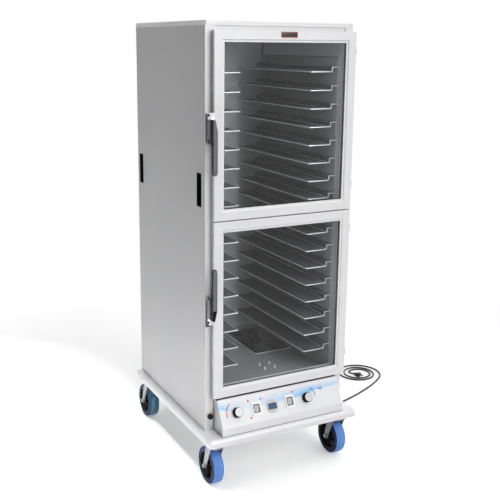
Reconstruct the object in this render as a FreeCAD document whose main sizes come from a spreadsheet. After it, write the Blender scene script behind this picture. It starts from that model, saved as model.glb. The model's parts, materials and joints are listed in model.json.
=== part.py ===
import FreeCAD, Part
import Sketcher
import math
import os
from types import SimpleNamespace

# Heated holding cabinet on four swivel casters, in millimetres.
# +Z is up, the doors face -Y, and the origin lies on the floor under the middle of the outline.

SIZES = {
    # base platform
    "base_toe": 105,
    "base_heel": 25,
    "base_side": 25,
    "base_thickness": 32,
    "base_corner": 18,
    "base_bullnose": 16,
    "base_rim": 18,
    "deck_sheet": 3,
    "channel_width": 74,
    "channel_wall": 3,
    # casters
    "caster_height": 206,
    "caster_front_inset": 66,
    "caster_rear_inset": 80,
    "caster_side_inset": 56,
    "caster_trail": 44,
    "wheel_diameter": 160,
    "wheel_width": 50,
    "tyre_thickness": 17,
    "tyre_round": 7,
    "hub_width": 52,
    "hub_boss": 17,
    "hub_web": 12,
    "hub_rim": 8,
    "plate_length": 105,
    "plate_width": 85,
    "plate_thickness": 5,
    "plate_corner": 8,
    "race_diameter": 68,
    "race_height": 13,
    "kingpin_diameter": 14,
    "kingpin_nut": 12,
    "nut_height": 6,
    "crown_diameter": 70,
    "crown_thickness": 7,
    "fork_sheet": 4.5,
    "fork_top": 46,
    "fork_lead": 18,
    "fork_boss": 13,
    "fork_play": 0.5,
    "axle_diameter": 12,
    "axle_head": 9.5,
    "axle_head_height": 8,
    # body
    "body_width": 672,
    "body_depth": 737,
    "body_height": 1651,
    "wall_thickness": 38,
    "outer_skin": 1.5,
    "liner_sheet": 1.2,
    "stile_depth": 25,
    "rail_depth": 22,
    "header_recess": 3,
    "ceiling_drop": 49,
    "ceiling_flange": 69,
    "floor_height": 142,
    "floor_sheet": 1.5,
    "floor_flange": 20,
    "sill_rise": 44,
    "cap_height": 20,
    "cap_lip": 1.5,
    "cap_wall": 3,
    "cap_sheet": 2,
    "cap_corner": 8,
    "cap_round": 6,
    # tray slides
    "slide_pitch": 76.2,
    "first_slide": 110.2,
    "slide_rear_gap": 2.5,
    "slide_setback": 41.5,
    "slide_reach": 133.3,
    "slide_shelf": 31.4,
    "slide_rise": 18.5,
    "slide_sheet": 2.5,
    "slide_bend": 4,
    # floor studs and water pan
    "stud_diameter": 9,
    "stud_height": 13,
    "stud_pitch": 51,
    "stud_side": 69,
    "stud_setback": 197.5,
    "pan_side": 193,
    "pan_setback": 522,
    "pan_width": 176,
    "pan_length": 316,
    "pan_flange": 10,
    "pan_depth": 46,
    "pan_sheet": 1.5,
    "pan_play": 1,
    # hand grips
    "grip_width": 40,
    "grip_length": 133,
    "grip_depth": 26,
    "grip_wall": 2,
    "grip_proud": 0.6,
    "grip_height": 1015,
    "grip_front_setback": 56,
    "grip_rear_setback": 44,
    # doors
    "door_reveal": 25,
    "door_thickness": 18,
    "door_rise": 148,
    "lower_door_height": 746,
    "upper_door_height": 737,
    "door_gap": 4,
    "door_rail": 46,
    "bevel_width": 11,
    "bevel_depth": 6,
    "pane_thickness": 5,
    "pane_bite": 9,
    "pane_play": 0.2,
    "pane_back": 5,
    "gasket_thickness": 10.7,
    "gasket_gap": 0.3,
    "gasket_width": 16,
    "gasket_inset": 6,
    "badge_width": 74.7,
    "badge_height": 22.6,
    "badge_thickness": 2,
    "badge_side": 15.8,
    "badge_drop": 15.7,
    # hinges
    "hinge_height": 60,
    "hinge_end": 90,
    "hinge_axis_side": 4.8,
    "hinge_axis_lead": 14.5,
    "knuckle_diameter": 9,
    "hinge_pin": 5,
    "leaf_sheet": 2,
    "leaf_length": 44,
    "leaf_play": 0.3,
    "running_play": 0.05,
    # lever latches
    "upper_latch": 389,
    "lower_latch": 365,
    "lever_side": 12.5,
    "lever_width": 19,
    "lever_front": 22,
    "lever_back": 10,
    "lever_end": 13,
    "lever_round": 7,
    "lever_deep": 72,
    "lever_step": 92,
    "lever_grip_end": 201,
    "lever_grip": 14,
    "lever_lead": 36.4,
    "lever_slot": 10,
    "lever_slot_floor": 25,
    "lug_width": 9,
    "lug_radius": 8,
    "latch_pin": 5,
    "case_width": 21,
    "case_above": 38,
    "case_below": 80,
    "case_lap": 4.4,
    "strike_width": 16,
    "strike_length": 108,
    "strike_thickness": 8,
    "strike_side": 9,
    "upper_strike": 1265,
    "lower_strike": 514,
    "strike_screw_pitch": 88,
    "screw_diameter": 5,
    "screw_head": 10,
    "screw_head_height": 2.4,
    "thumb_screw_head": 24,
    "thumb_screw_height": 14,
    "thumb_screw_side": 21,
    "thumb_screw_rise": 65,
    # control housing
    "housing_inset": 3,
    "housing_sheet": 1.5,
    "housing_foot": 85.5,
    "housing_brow": 31.5,
    "housing_lip": 35,
    "housing_top": 135,
    "housing_brow_lip": 7,
    "faceplate_sheet": 1.2,
    "faceplate_margin": 2,
    "knob_diameter": 43,
    "knob_skirt": 7,
    "knob_grip": 40,
    "knob_height": 22,
    "knob_cap": 37,
    "knob_cap_height": 1.5,
    "knob_play": 0.5,
    "shaft_diameter": 8,
    "shaft_length": 15,
    "thermostat_width": 46,
    "thermostat_height": 40,
    "thermostat_depth": 32,
    "left_knob_side": -216.7,
    "right_knob_side": 122,
    "control_row": 58,
    "left_switch_side": -125,
    "right_switch_side": 37,
    "bezel_width": 40,
    "bezel_height": 49,
    "bezel_flange": 4,
    "sleeve_width": 34,
    "sleeve_height": 38,
    "sleeve_depth": 20,
    "rocker_width": 28,
    "rocker_height": 31,
    "rocker_pin": 5,
    "rocker_tilt": 7,
    "display_side": -50.2,
    "display_row": 62,
    "display_diameter": 55.5,
    "display_flange": 4,
    "window_width": 40,
    "window_height": 25.5,
    "window_depth": 2.5,
    "light_diameter": 9,
    "light_stem": 6,
    "light_height": 4,
    "upper_light_row": 21,
    "lower_light_row": 92.3,
    "left_light_side": -157.5,
    "right_light_side": 60.2,
    # heating element
    "element_diameter": 9,
    "element_width": 150,
    "element_length": 300,
    "element_rise": 55,
    "element_block": 40,
    # power cord
    "cord_diameter": 8.5,
    "gland_side": 86,
    "gland_rise": 62,
    "gland_flange": 34,
    "gland_nose": 20,
    "gland_length": 38,
    "gland_plate": 5,
    "plug_length": 36,
    "plug_width": 27,
    "plug_height": 19,
    "plug_round": 6,
    "pin_length": 17,
    "pin_width": 6.3,
    "pin_thickness": 1.5,
    "pin_spread": 12.7,
}
SLIDE_LEVELS = 17

doc = FreeCAD.newDocument("HoldingCabinet")
sheet = doc.addObject("Spreadsheet::Sheet", "Sizes")
for row, (size_name, size_value) in enumerate(SIZES.items(), start=1):
    sheet.set(f"A{row}", "'" + size_name)
    sheet.set(f"B{row}", str(size_value))
    sheet.setAlias(f"B{row}", size_name)
doc.recompute()


class Size:
    """A length that keeps both its value and the sheet expression that gives it."""

    def __init__(self, text, value):
        self.text = text
        self.value = value

    def __float__(self):
        return self.value

    def __add__(self, other):
        other = as_size(other)
        return Size(f"({self.text} + {other.text})", self.value + other.value)

    def __sub__(self, other):
        other = as_size(other)
        return Size(f"({self.text} - {other.text})", self.value - other.value)

    def __rsub__(self, other):
        return as_size(other) - self

    def __mul__(self, other):
        other = as_size(other)
        return Size(f"({self.text} * {other.text})", self.value * other.value)

    def __truediv__(self, other):
        other = as_size(other)
        return Size(f"({self.text} / {other.text})", self.value / other.value)

    def __neg__(self):
        return Size(f"(0 - {self.text})", -self.value)

    __radd__ = __add__
    __rmul__ = __mul__


def as_size(number):
    if isinstance(number, Size):
        return number
    return Size(f"({float(number)!r})", float(number))


s = SimpleNamespace(**{name: Size(f"Sizes.{name}", float(getattr(sheet, name))) for name in SIZES})

Vector = FreeCAD.Vector
Rotation = FreeCAD.Rotation
Placement = FreeCAD.Placement
X_AXIS = Vector(1, 0, 0)
Y_AXIS = Vector(0, 1, 0)
Z_AXIS = Vector(0, 0, 1)
TURNED = {
    "Z": Rotation(),
    "X": Rotation(Y_AXIS, 90),
    "Y": Rotation(X_AXIS, -90),
}
nodes = {}


def node(label, obj):
    """Names a finished piece, which is then written out under that name."""
    obj.Label = label
    nodes[label] = obj
    return obj


def bind(obj, prop, size):
    obj.setExpression(prop, as_size(size).text)


def place(obj, x, y, z):
    for axis, size in zip("xyz", (x, y, z)):
        bind(obj, f"Placement.Base.{axis}", size)
    return obj


def box(name, low, high):
    obj = doc.addObject("Part::Box", name)
    for prop, start, end in zip(("Length", "Width", "Height"), low, high):
        bind(obj, prop, as_size(end) - start)
    return place(obj, *low)


def cylinder(name, base, radius, length, axis="Z"):
    obj = doc.addObject("Part::Cylinder", name)
    bind(obj, "Radius", radius)
    bind(obj, "Height", length)
    obj.Placement = Placement(Vector(), TURNED[axis])
    return place(obj, *base)


def fuse(name, pieces):
    obj = doc.addObject("Part::MultiFuse", name)
    obj.Shapes = pieces
    obj.Refine = True
    return obj


def cut(name, base, tools):
    tool = tools[0]
    if len(tools) > 1:
        tool = doc.addObject("Part::Compound", name + "_tools")
        tool.Links = tools
    obj = doc.addObject("Part::Cut", name)
    obj.Base = base
    obj.Tool = tool
    return obj


def common(name, first, second):
    obj = doc.addObject("Part::Common", name)
    obj.Base = first
    obj.Tool = second
    return obj


def gather(label, pieces):
    obj = doc.addObject("Part::Compound", label)
    obj.Links = pieces
    return node(label, obj)


def moved(shape, placement):
    """A copy of a shape carried along by a placement."""
    copy = shape.copy()
    copy.Placement = placement.multiply(shape.Placement)
    return copy


def solid(name, shape, placement=None):
    obj = doc.addObject("Part::Feature", name)
    obj.Shape = shape if placement is None else moved(shape, placement)
    return obj


def origin_plane(body, role):
    return [feature for feature in body.Origin.OriginFeatures if feature.Role == role][0]


def polygon_sketch(body, plane, points, name):
    """A closed outline on one of the body's own planes, every corner bound to the sheet."""
    points = [(as_size(u), as_size(v)) for u, v in points]
    sketch = body.newObject("Sketcher::SketchObject", name)
    sketch.AttachmentSupport = [(origin_plane(body, plane), "")]
    sketch.MapMode = "FlatFace"
    corners = [Vector(float(u), float(v), 0) for u, v in points]
    count = len(corners)
    for i in range(count):
        sketch.addGeometry(Part.LineSegment(corners[i], corners[(i + 1) % count]))
    for i in range(count):
        sketch.addConstraint(Sketcher.Constraint("Coincident", i, 2, (i + 1) % count, 1))
    for i, pair in enumerate(points):
        for kind, size in zip(("DistanceX", "DistanceY"), pair):
            index = sketch.addConstraint(Sketcher.Constraint(kind, -1, 1, i, 1, float(size)))
            sketch.setExpression(f"Constraints[{index}]", size.text)
    return sketch


def profile(name, plane, points, length):
    """A prism along +X, +Y or +Z from an outline on the YZ, XZ or XY plane."""
    body = doc.addObject("PartDesign::Body", name)
    sketch = polygon_sketch(body, plane, points, name + "_outline")
    pad = body.newObject("PartDesign::Pad", name + "_pad")
    pad.Profile = sketch
    bind(pad, "Length", length)
    pad.Reversed = plane == "XZ_Plane"
    return body


def revolve(name, points):
    """A turned piece about Z from an outline of (radius, height) corners."""
    body = doc.addObject("PartDesign::Body", name)
    sketch = polygon_sketch(body, "XZ_Plane", points, name + "_outline")
    turned = body.newObject("PartDesign::Revolution", name + "_turned")
    turned.Profile = sketch
    turned.ReferenceAxis = (sketch, ["V_Axis"])
    turned.Angle = 360
    return body


def edges_where(feature, test):
    doc.recompute()
    return [f"Edge{i}" for i, edge in enumerate(feature.Shape.Edges, start=1) if test(edge)]


def round_edges(body, radius, test):
    """Rounds those edges of the body's last feature that pass the test."""
    base = body.Tip
    picked = edges_where(base, test)
    fillet = body.newObject("PartDesign::Fillet", f"{body.Name}_round{len(body.Group)}")
    fillet.Base = (base, picked)
    bind(fillet, "Radius", radius)
    return fillet


def level(edge, axis):
    """The height of an edge along an axis where the whole edge lies at that height, else None."""
    bounds = edge.BoundBox
    low, high = {"x": (bounds.XMin, bounds.XMax), "y": (bounds.YMin, bounds.YMax),
                 "z": (bounds.ZMin, bounds.ZMax)}[axis]
    if high - low > 0.001:
        return None
    return low


def runs_along(edge, axis):
    return all(level(edge, other) is not None for other in "xyz" if other != axis)


def rectangle(low, high):
    return [(low[0], low[1]), (high[0], low[1]), (high[0], high[1]), (low[0], high[1])]


def hollow_slab(name, low, high, height, corner, rounding, wall, skin):
    """A slab with rounded corners and a rounded top rim, hollowed from below to a skin with a wall round it."""
    body = profile(name, "XY_Plane", rectangle(low, high), height)
    round_edges(body, corner, lambda edge: runs_along(edge, "z"))
    round_edges(body, rounding, lambda edge: level(edge, "z") is not None and abs(
        level(edge, "z") - float(height)) < 0.001)
    inside = rectangle([edge + wall for edge in low], [edge - wall for edge in high])
    sketch = polygon_sketch(body, "XY_Plane", inside, name + "_hollow")
    pocket = body.newObject("PartDesign::Pocket", name + "_pocket")
    pocket.Profile = sketch
    pocket.Reversed = True
    bind(pocket, "Length", height - skin)
    doc.recompute()
    assert pocket.Shape.Volume < 0.7 * body.Group[1].Shape.Volume
    return body


# Shared levels and edges
half_body = s.body_width / 2
half_base = half_body + s.base_side
base_length = s.base_toe + s.body_depth + s.base_heel
wheel_overhang = s.caster_trail + s.wheel_diameter / 2 - s.caster_rear_inset
base_front = -(base_length + wheel_overhang) / 2
base_back = base_front + base_length
body_front = base_front + s.base_toe
body_back = body_front + s.body_depth
deck_top = s.caster_height + s.base_thickness
body_top = deck_top + s.body_height
ceiling = body_top - s.ceiling_drop
floor_top = deck_top + s.floor_height
floor_under = floor_top - s.floor_sheet
inner_half = half_body - s.wall_thickness
cavity_back = body_back - s.wall_thickness
behind_stile = body_front + s.outer_skin
SIDES = (("left", -1), ("right", 1))


# Base platform and the channels under its deck
platform = hollow_slab("platform", (-half_base, base_front), (half_base, base_back), s.base_thickness,
                       s.base_corner, s.base_bullnose, s.base_rim, s.deck_sheet)
node("base_platform", place(platform, 0, 0, s.caster_height))

channel_rise = s.base_thickness - s.deck_sheet
caster_side = half_base - s.caster_side_inset
half_channel = s.channel_width / 2
channels = []
for side_name, side in SIDES:
    channel = profile(side_name + "_channel", "XZ_Plane", [
        (-half_channel, 0), (half_channel, 0), (half_channel, channel_rise),
        (half_channel - s.channel_wall, channel_rise), (half_channel - s.channel_wall, s.channel_wall),
        (s.channel_wall - half_channel, s.channel_wall), (s.channel_wall - half_channel, channel_rise),
        (-half_channel, channel_rise)], base_length - s.base_rim * 2)
    channels.append(place(channel, caster_side * side, base_front + s.base_rim, s.caster_height))
gather("base_channels", channels)


# Outer panels with their hand grips
grip_centres = (body_front + s.grip_front_setback, body_back - s.grip_rear_setback)
grip_bottom = deck_top + s.grip_height - s.grip_length / 2
grip_top = grip_bottom + s.grip_length
skins = []
cups = []
for side_name, side in SIDES:
    outer = half_body * side
    under = (half_body - s.outer_skin) * side
    proud = (half_body + s.grip_proud) * side
    deep = (half_body - s.grip_depth) * side
    cup_floor = (half_body - s.grip_depth + s.grip_wall) * side
    skin = box(side_name + "_skin", (min(outer, under, key=float), behind_stile, deck_top),
               (max(outer, under, key=float), body_back - s.outer_skin, body_top))
    slots = []
    for i, centre in enumerate(grip_centres):
        near = centre - s.grip_width / 2
        far = centre + s.grip_width / 2
        ends = (min(proud, deep, key=float), max(proud, deep, key=float))
        slots.append(box(f"{side_name}_slot{i}", (ends[0], near, grip_bottom), (ends[1], far, grip_top)))
        shell = box(f"{side_name}_cup{i}", (ends[0], near, grip_bottom), (ends[1], far, grip_top))
        hollow_ends = (min(proud, cup_floor, key=float), max(proud, cup_floor, key=float))
        hollow = box(f"{side_name}_hollow{i}",
                     (hollow_ends[0], near + s.grip_wall, grip_bottom + s.grip_wall),
                     (hollow_ends[1], far - s.grip_wall, grip_top - s.grip_wall))
        cups.append(cut(f"{side_name}_grip{i}", shell, [hollow]))
    skins.append(cut(side_name + "_panel", skin, slots))
gather("side_outer_panels", skins)
gather("hand_grips", cups)

gland_height = deck_top + s.gland_rise
back_sheet = box("back_sheet", (-half_body, body_back - s.outer_skin, deck_top),
                 (half_body, body_back, body_top))
gland_hole = cylinder("gland_hole", (s.gland_side, body_back - s.wall_thickness, gland_height),
                      s.gland_nose / 2, s.wall_thickness * 2, "Y")
node("back_outer_panel", cut("back_panel", back_sheet, [gland_hole]))


# Cavity liners: side sheets, back sheet and a ceiling pan with turned-down flanges
liner_outer = inner_half + s.liner_sheet
left_liner = box("left_liner", (-liner_outer, behind_stile, floor_under),
                 (-inner_half, cavity_back, ceiling + s.liner_sheet))
right_liner = box("right_liner", (inner_half, behind_stile, floor_under),
                  (liner_outer, cavity_back, ceiling + s.liner_sheet))
back_liner = box("back_liner", (-liner_outer, cavity_back, floor_under),
                 (liner_outer, cavity_back + s.liner_sheet, ceiling + s.liner_sheet))
header_front = body_front + s.header_recess
ceiling_front = header_front + s.rail_depth
flange_low = ceiling - s.ceiling_flange
flange_in = inner_half - s.liner_sheet
ceiling_pan = profile("ceiling_pan", "XZ_Plane", [
    (-inner_half, flange_low), (-flange_in, flange_low), (-flange_in, ceiling), (flange_in, ceiling),
    (flange_in, flange_low), (inner_half, flange_low), (inner_half, ceiling + s.liner_sheet),
    (-inner_half, ceiling + s.liner_sheet)], cavity_back - ceiling_front)
place(ceiling_pan, 0, ceiling_front, 0)
gather("cavity_liners", [left_liner, right_liner, back_liner, ceiling_pan])


# Insulation in the side walls, the back wall and over the ceiling
wool_front = body_front + s.stile_depth
wool_outer = half_body - s.outer_skin
wool = []
for side_name, side in SIDES:
    ends = sorted((liner_outer * side, wool_outer * side), key=float)
    slab = box(side_name + "_wool", (ends[0], wool_front, floor_top),
               (ends[1], body_back - s.outer_skin, body_top))
    pits = []
    for i, centre in enumerate(grip_centres):
        deep_ends = sorted(((half_body - s.grip_depth) * side, half_body * side), key=float)
        pits.append(box(f"{side_name}_pit{i}", (deep_ends[0], centre - s.grip_width / 2, grip_bottom),
                        (deep_ends[1], centre + s.grip_width / 2, grip_top)))
    wool.append(cut(side_name + "_batt", slab, pits))
wool.append(box("back_wool", (-liner_outer, cavity_back + s.liner_sheet, floor_top),
                (liner_outer, body_back - s.outer_skin, body_top)))
wool.append(box("top_wool", (-liner_outer, ceiling_front, ceiling + s.liner_sheet),
                (liner_outer, cavity_back + s.liner_sheet, body_top)))
gather("wall_insulation", wool)


# Top cap, a folded lid on the walls
cap = hollow_slab("cap", (-half_body - s.cap_lip, body_front - s.cap_lip),
                  (half_body + s.cap_lip, body_back + s.cap_lip), s.cap_height,
                  s.cap_corner, s.cap_round, s.cap_wall, s.cap_sheet)
node("top_cap", place(cap, 0, 0, body_top))


# Front frame: stiles with holes for the screws, header and sill
strike_x = -half_body + s.strike_side
strike_heights = (deck_top + s.lower_strike, deck_top + s.upper_strike)
screw_spots = [(strike_x, height + s.strike_screw_pitch * half)
               for height in strike_heights for half in (-0.5, 0.5)]
thumb_height = deck_top + s.thumb_screw_rise
thumb_x = half_body - s.thumb_screw_side
stiles = []
for side_name, side in SIDES:
    outer = half_body * side
    skin = (half_body - s.outer_skin) * side
    fold = (half_body - s.outer_skin * 2) * side
    inner = inner_half * side
    lap = liner_outer * side
    lap_fold = (liner_outer + s.outer_skin) * side
    stile = profile(side_name + "_stile_bar", "XY_Plane", [
        (outer, 0), (inner, 0), (inner, s.outer_skin), (lap, s.outer_skin), (lap, s.stile_depth),
        (lap_fold, s.stile_depth), (lap_fold, s.outer_skin), (fold, s.outer_skin),
        (fold, s.stile_depth), (skin, s.stile_depth), (skin, s.outer_skin), (outer, s.outer_skin)],
        s.body_height)
    place(stile, 0, body_front, deck_top)
    holes = [cylinder(side_name + "_thumb_hole", (thumb_x * side, body_front, thumb_height),
                      s.screw_diameter / 2, s.outer_skin, "Y")]
    if side < 0:
        for i, (x, z) in enumerate(screw_spots):
            holes.append(cylinder(f"strike_hole{i}", (x, body_front, z), s.screw_diameter / 2,
                                  s.outer_skin, "Y"))
    stiles.append(cut(side_name + "_stile", stile, holes))
gather("front_stiles", stiles)


def channel_outline(front, depth, low, high, web):
    """A channel open to the rear, in (y, z)."""
    return [(front, low), (front + depth, low), (front + depth, low + web), (front + web, low + web),
            (front + web, high - web), (front + depth, high - web), (front + depth, high), (front, high)]


sill_low = deck_top + s.housing_top
header = profile("header_rail", "YZ_Plane",
                 channel_outline(header_front, s.rail_depth, ceiling, body_top, s.outer_skin),
                 inner_half * 2)
sill = profile("sill_rail", "YZ_Plane",
               channel_outline(body_front, s.rail_depth, sill_low, floor_top + s.sill_rise, s.outer_skin),
               inner_half * 2)
for rail in (header, sill):
    place(rail, -inner_half, 0, 0)
gather("front_rails", [header, sill])


# Cavity floor with four upright studs, an opening for the water pan and upturned flanges
pan_x = s.pan_side
pan_y = body_front + s.pan_setback
half_pan = s.pan_width / 2
half_pan_length = s.pan_length / 2
floor_sheet = box("floor_sheet", (-inner_half, behind_stile, floor_under),
                  (inner_half, cavity_back, floor_top))
lips = [box("floor_left_lip", (-inner_half, body_front + s.stile_depth, floor_top),
            (s.floor_sheet - inner_half, cavity_back, floor_top + s.floor_flange)),
        box("floor_right_lip", (inner_half - s.floor_sheet, body_front + s.stile_depth, floor_top),
            (inner_half, cavity_back, floor_top + s.floor_flange)),
        box("floor_back_lip", (-inner_half, cavity_back - s.floor_sheet, floor_top),
            (inner_half, cavity_back, floor_top + s.floor_flange))]
studs = []
for i, (across, along) in enumerate(((-0.5, -0.5), (0.5, -0.5), (-0.5, 0.5), (0.5, 0.5))):
    studs.append(cylinder(f"stud{i}", (s.stud_side + s.stud_pitch * across,
                                       body_front + s.stud_setback + s.stud_pitch * along, floor_under),
                          s.stud_diameter / 2, s.floor_sheet + s.stud_height))
floor_body = fuse("floor_body", [floor_sheet] + lips + studs)
pan_opening = box("pan_opening", (pan_x - half_pan - s.pan_play, pan_y - half_pan_length - s.pan_play, floor_under),
                  (pan_x + half_pan + s.pan_play, pan_y + half_pan_length + s.pan_play, floor_top))
node("cavity_floor", cut("floor", floor_body, [pan_opening]))


# Tray slides: one folded Z-section, repeated up both walls
slide_in = inner_half - s.slide_reach
slide_riser = inner_half - s.slide_shelf
slide_out = slide_riser + s.slide_sheet
slide_top = s.slide_rise + s.slide_sheet
slide_front = body_front + s.slide_setback
slide_length = cavity_back - s.slide_rear_gap - slide_front
for side_name, side in SIDES:
    slide = profile(side_name + "_slide", "XZ_Plane", [
        (slide_in * side, 0), (slide_out * side, 0), (slide_out * side, s.slide_rise),
        (inner_half * side, s.slide_rise), (inner_half * side, slide_top), (slide_riser * side, slide_top),
        (slide_riser * side, s.slide_sheet), (slide_in * side, s.slide_sheet)], slide_length)
    bends = (float(slide_out), 0.0), (float(slide_riser), float(slide_top))
    round_edges(slide, s.slide_bend, lambda edge: runs_along(edge, "y") and any(
        abs(abs(level(edge, "x")) - x) < 0.001 and abs(level(edge, "z") - z) < 0.001 for x, z in bends))
    doc.recompute()
    master = slide.Tip.Shape
    rack = []
    for step in range(SLIDE_LEVELS):
        height = float(floor_top + s.first_slide) + step * float(s.slide_pitch)
        rack.append(moved(master, Placement(Vector(0, float(slide_front), height), Rotation())))
    node(side_name + "_tray_slides", solid(side_name + "_slides", Part.makeCompound(rack)))


# Water pan: a creased funnel hanging by its flange in the floor's opening
funnel = doc.addObject("PartDesign::Body", "funnel")
funnel_top = polygon_sketch(funnel, "XY_Plane", rectangle((-half_pan, -half_pan_length),
                                                          (half_pan, half_pan_length)), "funnel_top")
foot_half = half_pan * 0.12
foot_half_length = half_pan_length * 0.35
funnel_foot = polygon_sketch(funnel, "XY_Plane", rectangle((-foot_half, -foot_half_length),
                                                           (foot_half, foot_half_length)), "funnel_foot")
bind(funnel_foot, "AttachmentOffset.Base.z", -s.pan_depth)
loft = funnel.newObject("PartDesign::AdditiveLoft", "funnel_loft")
loft.Profile = funnel_top
loft.Sections = [funnel_foot]
loft.Ruled = True
doc.recompute()
mouth_half = half_pan - s.pan_sheet * 3
mouth_half_length = half_pan_length - s.pan_sheet * 3
mouth = polygon_sketch(funnel, "XY_Plane", rectangle((-mouth_half, -mouth_half_length),
                                                     (mouth_half, mouth_half_length)), "funnel_mouth")
sump = polygon_sketch(funnel, "XY_Plane", rectangle((-foot_half, -foot_half_length),
                                                    (foot_half, foot_half_length)), "funnel_sump")
bind(sump, "AttachmentOffset.Base.z", s.pan_sheet - s.pan_depth)
scoop = funnel.newObject("PartDesign::SubtractiveLoft", "funnel_scoop")
scoop.Profile = mouth
scoop.Sections = [sump]
scoop.Ruled = True
doc.recompute()
assert scoop.Shape.Volume < 0.3 * loft.Shape.Volume
rim_plate = box("pan_rim_plate", (-half_pan - s.pan_flange, -half_pan_length - s.pan_flange, 0),
                (half_pan + s.pan_flange, half_pan_length + s.pan_flange, s.pan_sheet))
rim_hole = box("pan_rim_hole", (-mouth_half, -mouth_half_length, 0),
               (mouth_half, mouth_half_length, s.pan_sheet))
pan = fuse("pan", [funnel, cut("pan_rim", rim_plate, [rim_hole])])
node("water_pan", place(pan, pan_x, pan_y, floor_top))


# Doors: four mitred rails with a bevel and a glazing groove, a pane, gasket strips
door_left = -half_body + s.door_reveal
door_right = half_body - s.leaf_play
door_back = body_front - s.gasket_gap - s.gasket_thickness
door_front = door_back - s.door_thickness
lower_bottom = deck_top + s.door_rise
lower_top = lower_bottom + s.lower_door_height
upper_bottom = lower_top + s.door_gap
upper_top = upper_bottom + s.upper_door_height
DOORS = (("lower", lower_bottom, lower_top), ("upper", upper_bottom, upper_top))


def rail_section(edge, inward):
    """The rail's cross section: distance across the door, and y, with its groove and bevel."""
    groove_near = s.pane_back - s.pane_play
    groove_far = s.pane_back + s.pane_thickness + s.pane_play
    groove_floor = s.door_rail - s.pane_bite - s.pane_play
    outline = [(0, 0), (s.door_rail, 0), (s.door_rail, groove_near), (groove_floor, groove_near),
               (groove_floor, groove_far), (s.door_rail, groove_far),
               (s.door_rail, s.door_thickness - s.bevel_depth),
               (s.door_rail - s.bevel_width, s.door_thickness), (0, s.door_thickness)]
    return [(edge + as_size(across) * inward, door_back - depth) for across, depth in outline]


for door_name, low, high in DOORS:
    tall = high - low
    wide = door_right - door_left
    inner_left = door_left + s.door_rail
    inner_right = door_right - s.door_rail
    inner_low = low + s.door_rail
    inner_high = high - s.door_rail
    mitres = {
        "bottom": [(door_left, low), (door_right, low), (inner_right, inner_low), (inner_left, inner_low)],
        "top": [(door_left, high), (door_right, high), (inner_right, inner_high), (inner_left, inner_high)],
        "left": [(door_left, low), (inner_left, inner_low), (inner_left, inner_high), (door_left, high)],
        "right": [(door_right, low), (inner_right, inner_low), (inner_right, inner_high), (door_right, high)],
    }
    bars = {
        "bottom": place(profile(door_name + "_bottom_bar", "YZ_Plane",
                                [(y, z) for z, y in rail_section(low, 1)], wide), door_left, 0, 0),
        "top": place(profile(door_name + "_top_bar", "YZ_Plane",
                             [(y, z) for z, y in rail_section(high, -1)], wide), door_left, 0, 0),
        "left": place(profile(door_name + "_left_bar", "XY_Plane", rail_section(door_left, 1), tall),
                      0, 0, low),
        "right": place(profile(door_name + "_right_bar", "XY_Plane", rail_section(door_right, -1), tall),
                       0, 0, low),
    }
    rails = []
    for rail_name, mitre in mitres.items():
        wedge = profile(f"{door_name}_{rail_name}_mitre", "XZ_Plane", mitre, s.door_thickness)
        place(wedge, 0, door_front, 0)
        rails.append(common(f"{door_name}_{rail_name}_rail", bars[rail_name], wedge))
    gather(door_name + "_door_frame", rails)

    pane_far = door_back - s.pane_back
    node(door_name + "_door_pane", box(
        door_name + "_pane",
        (inner_left - s.pane_bite, pane_far - s.pane_thickness, inner_low - s.pane_bite),
        (inner_right + s.pane_bite, pane_far, inner_high + s.pane_bite)))

    strip_left = door_left + s.gasket_inset
    strip_right = door_right - s.gasket_inset
    strip_low = low + s.gasket_inset
    strip_high = high - s.gasket_inset
    strip_far = door_back + s.gasket_thickness
    gather(door_name + "_door_gasket", [
        box(door_name + "_gasket_low", (strip_left, door_back, strip_low),
            (strip_right, strip_far, strip_low + s.gasket_width)),
        box(door_name + "_gasket_high", (strip_left, door_back, strip_high - s.gasket_width),
            (strip_right, strip_far, strip_high)),
        box(door_name + "_gasket_left", (strip_left, door_back, strip_low + s.gasket_width),
            (strip_left + s.gasket_width, strip_far, strip_high - s.gasket_width)),
        box(door_name + "_gasket_right", (strip_right - s.gasket_width, door_back, strip_low + s.gasket_width),
            (strip_right, strip_far, strip_high - s.gasket_width))])

badge_low = upper_top - s.badge_drop - s.badge_height / 2
node("badge_plate", box("badge", (s.badge_side - s.badge_width / 2, door_front - s.badge_thickness, badge_low),
                        (s.badge_side + s.badge_width / 2, door_front, badge_low + s.badge_height)))


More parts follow.
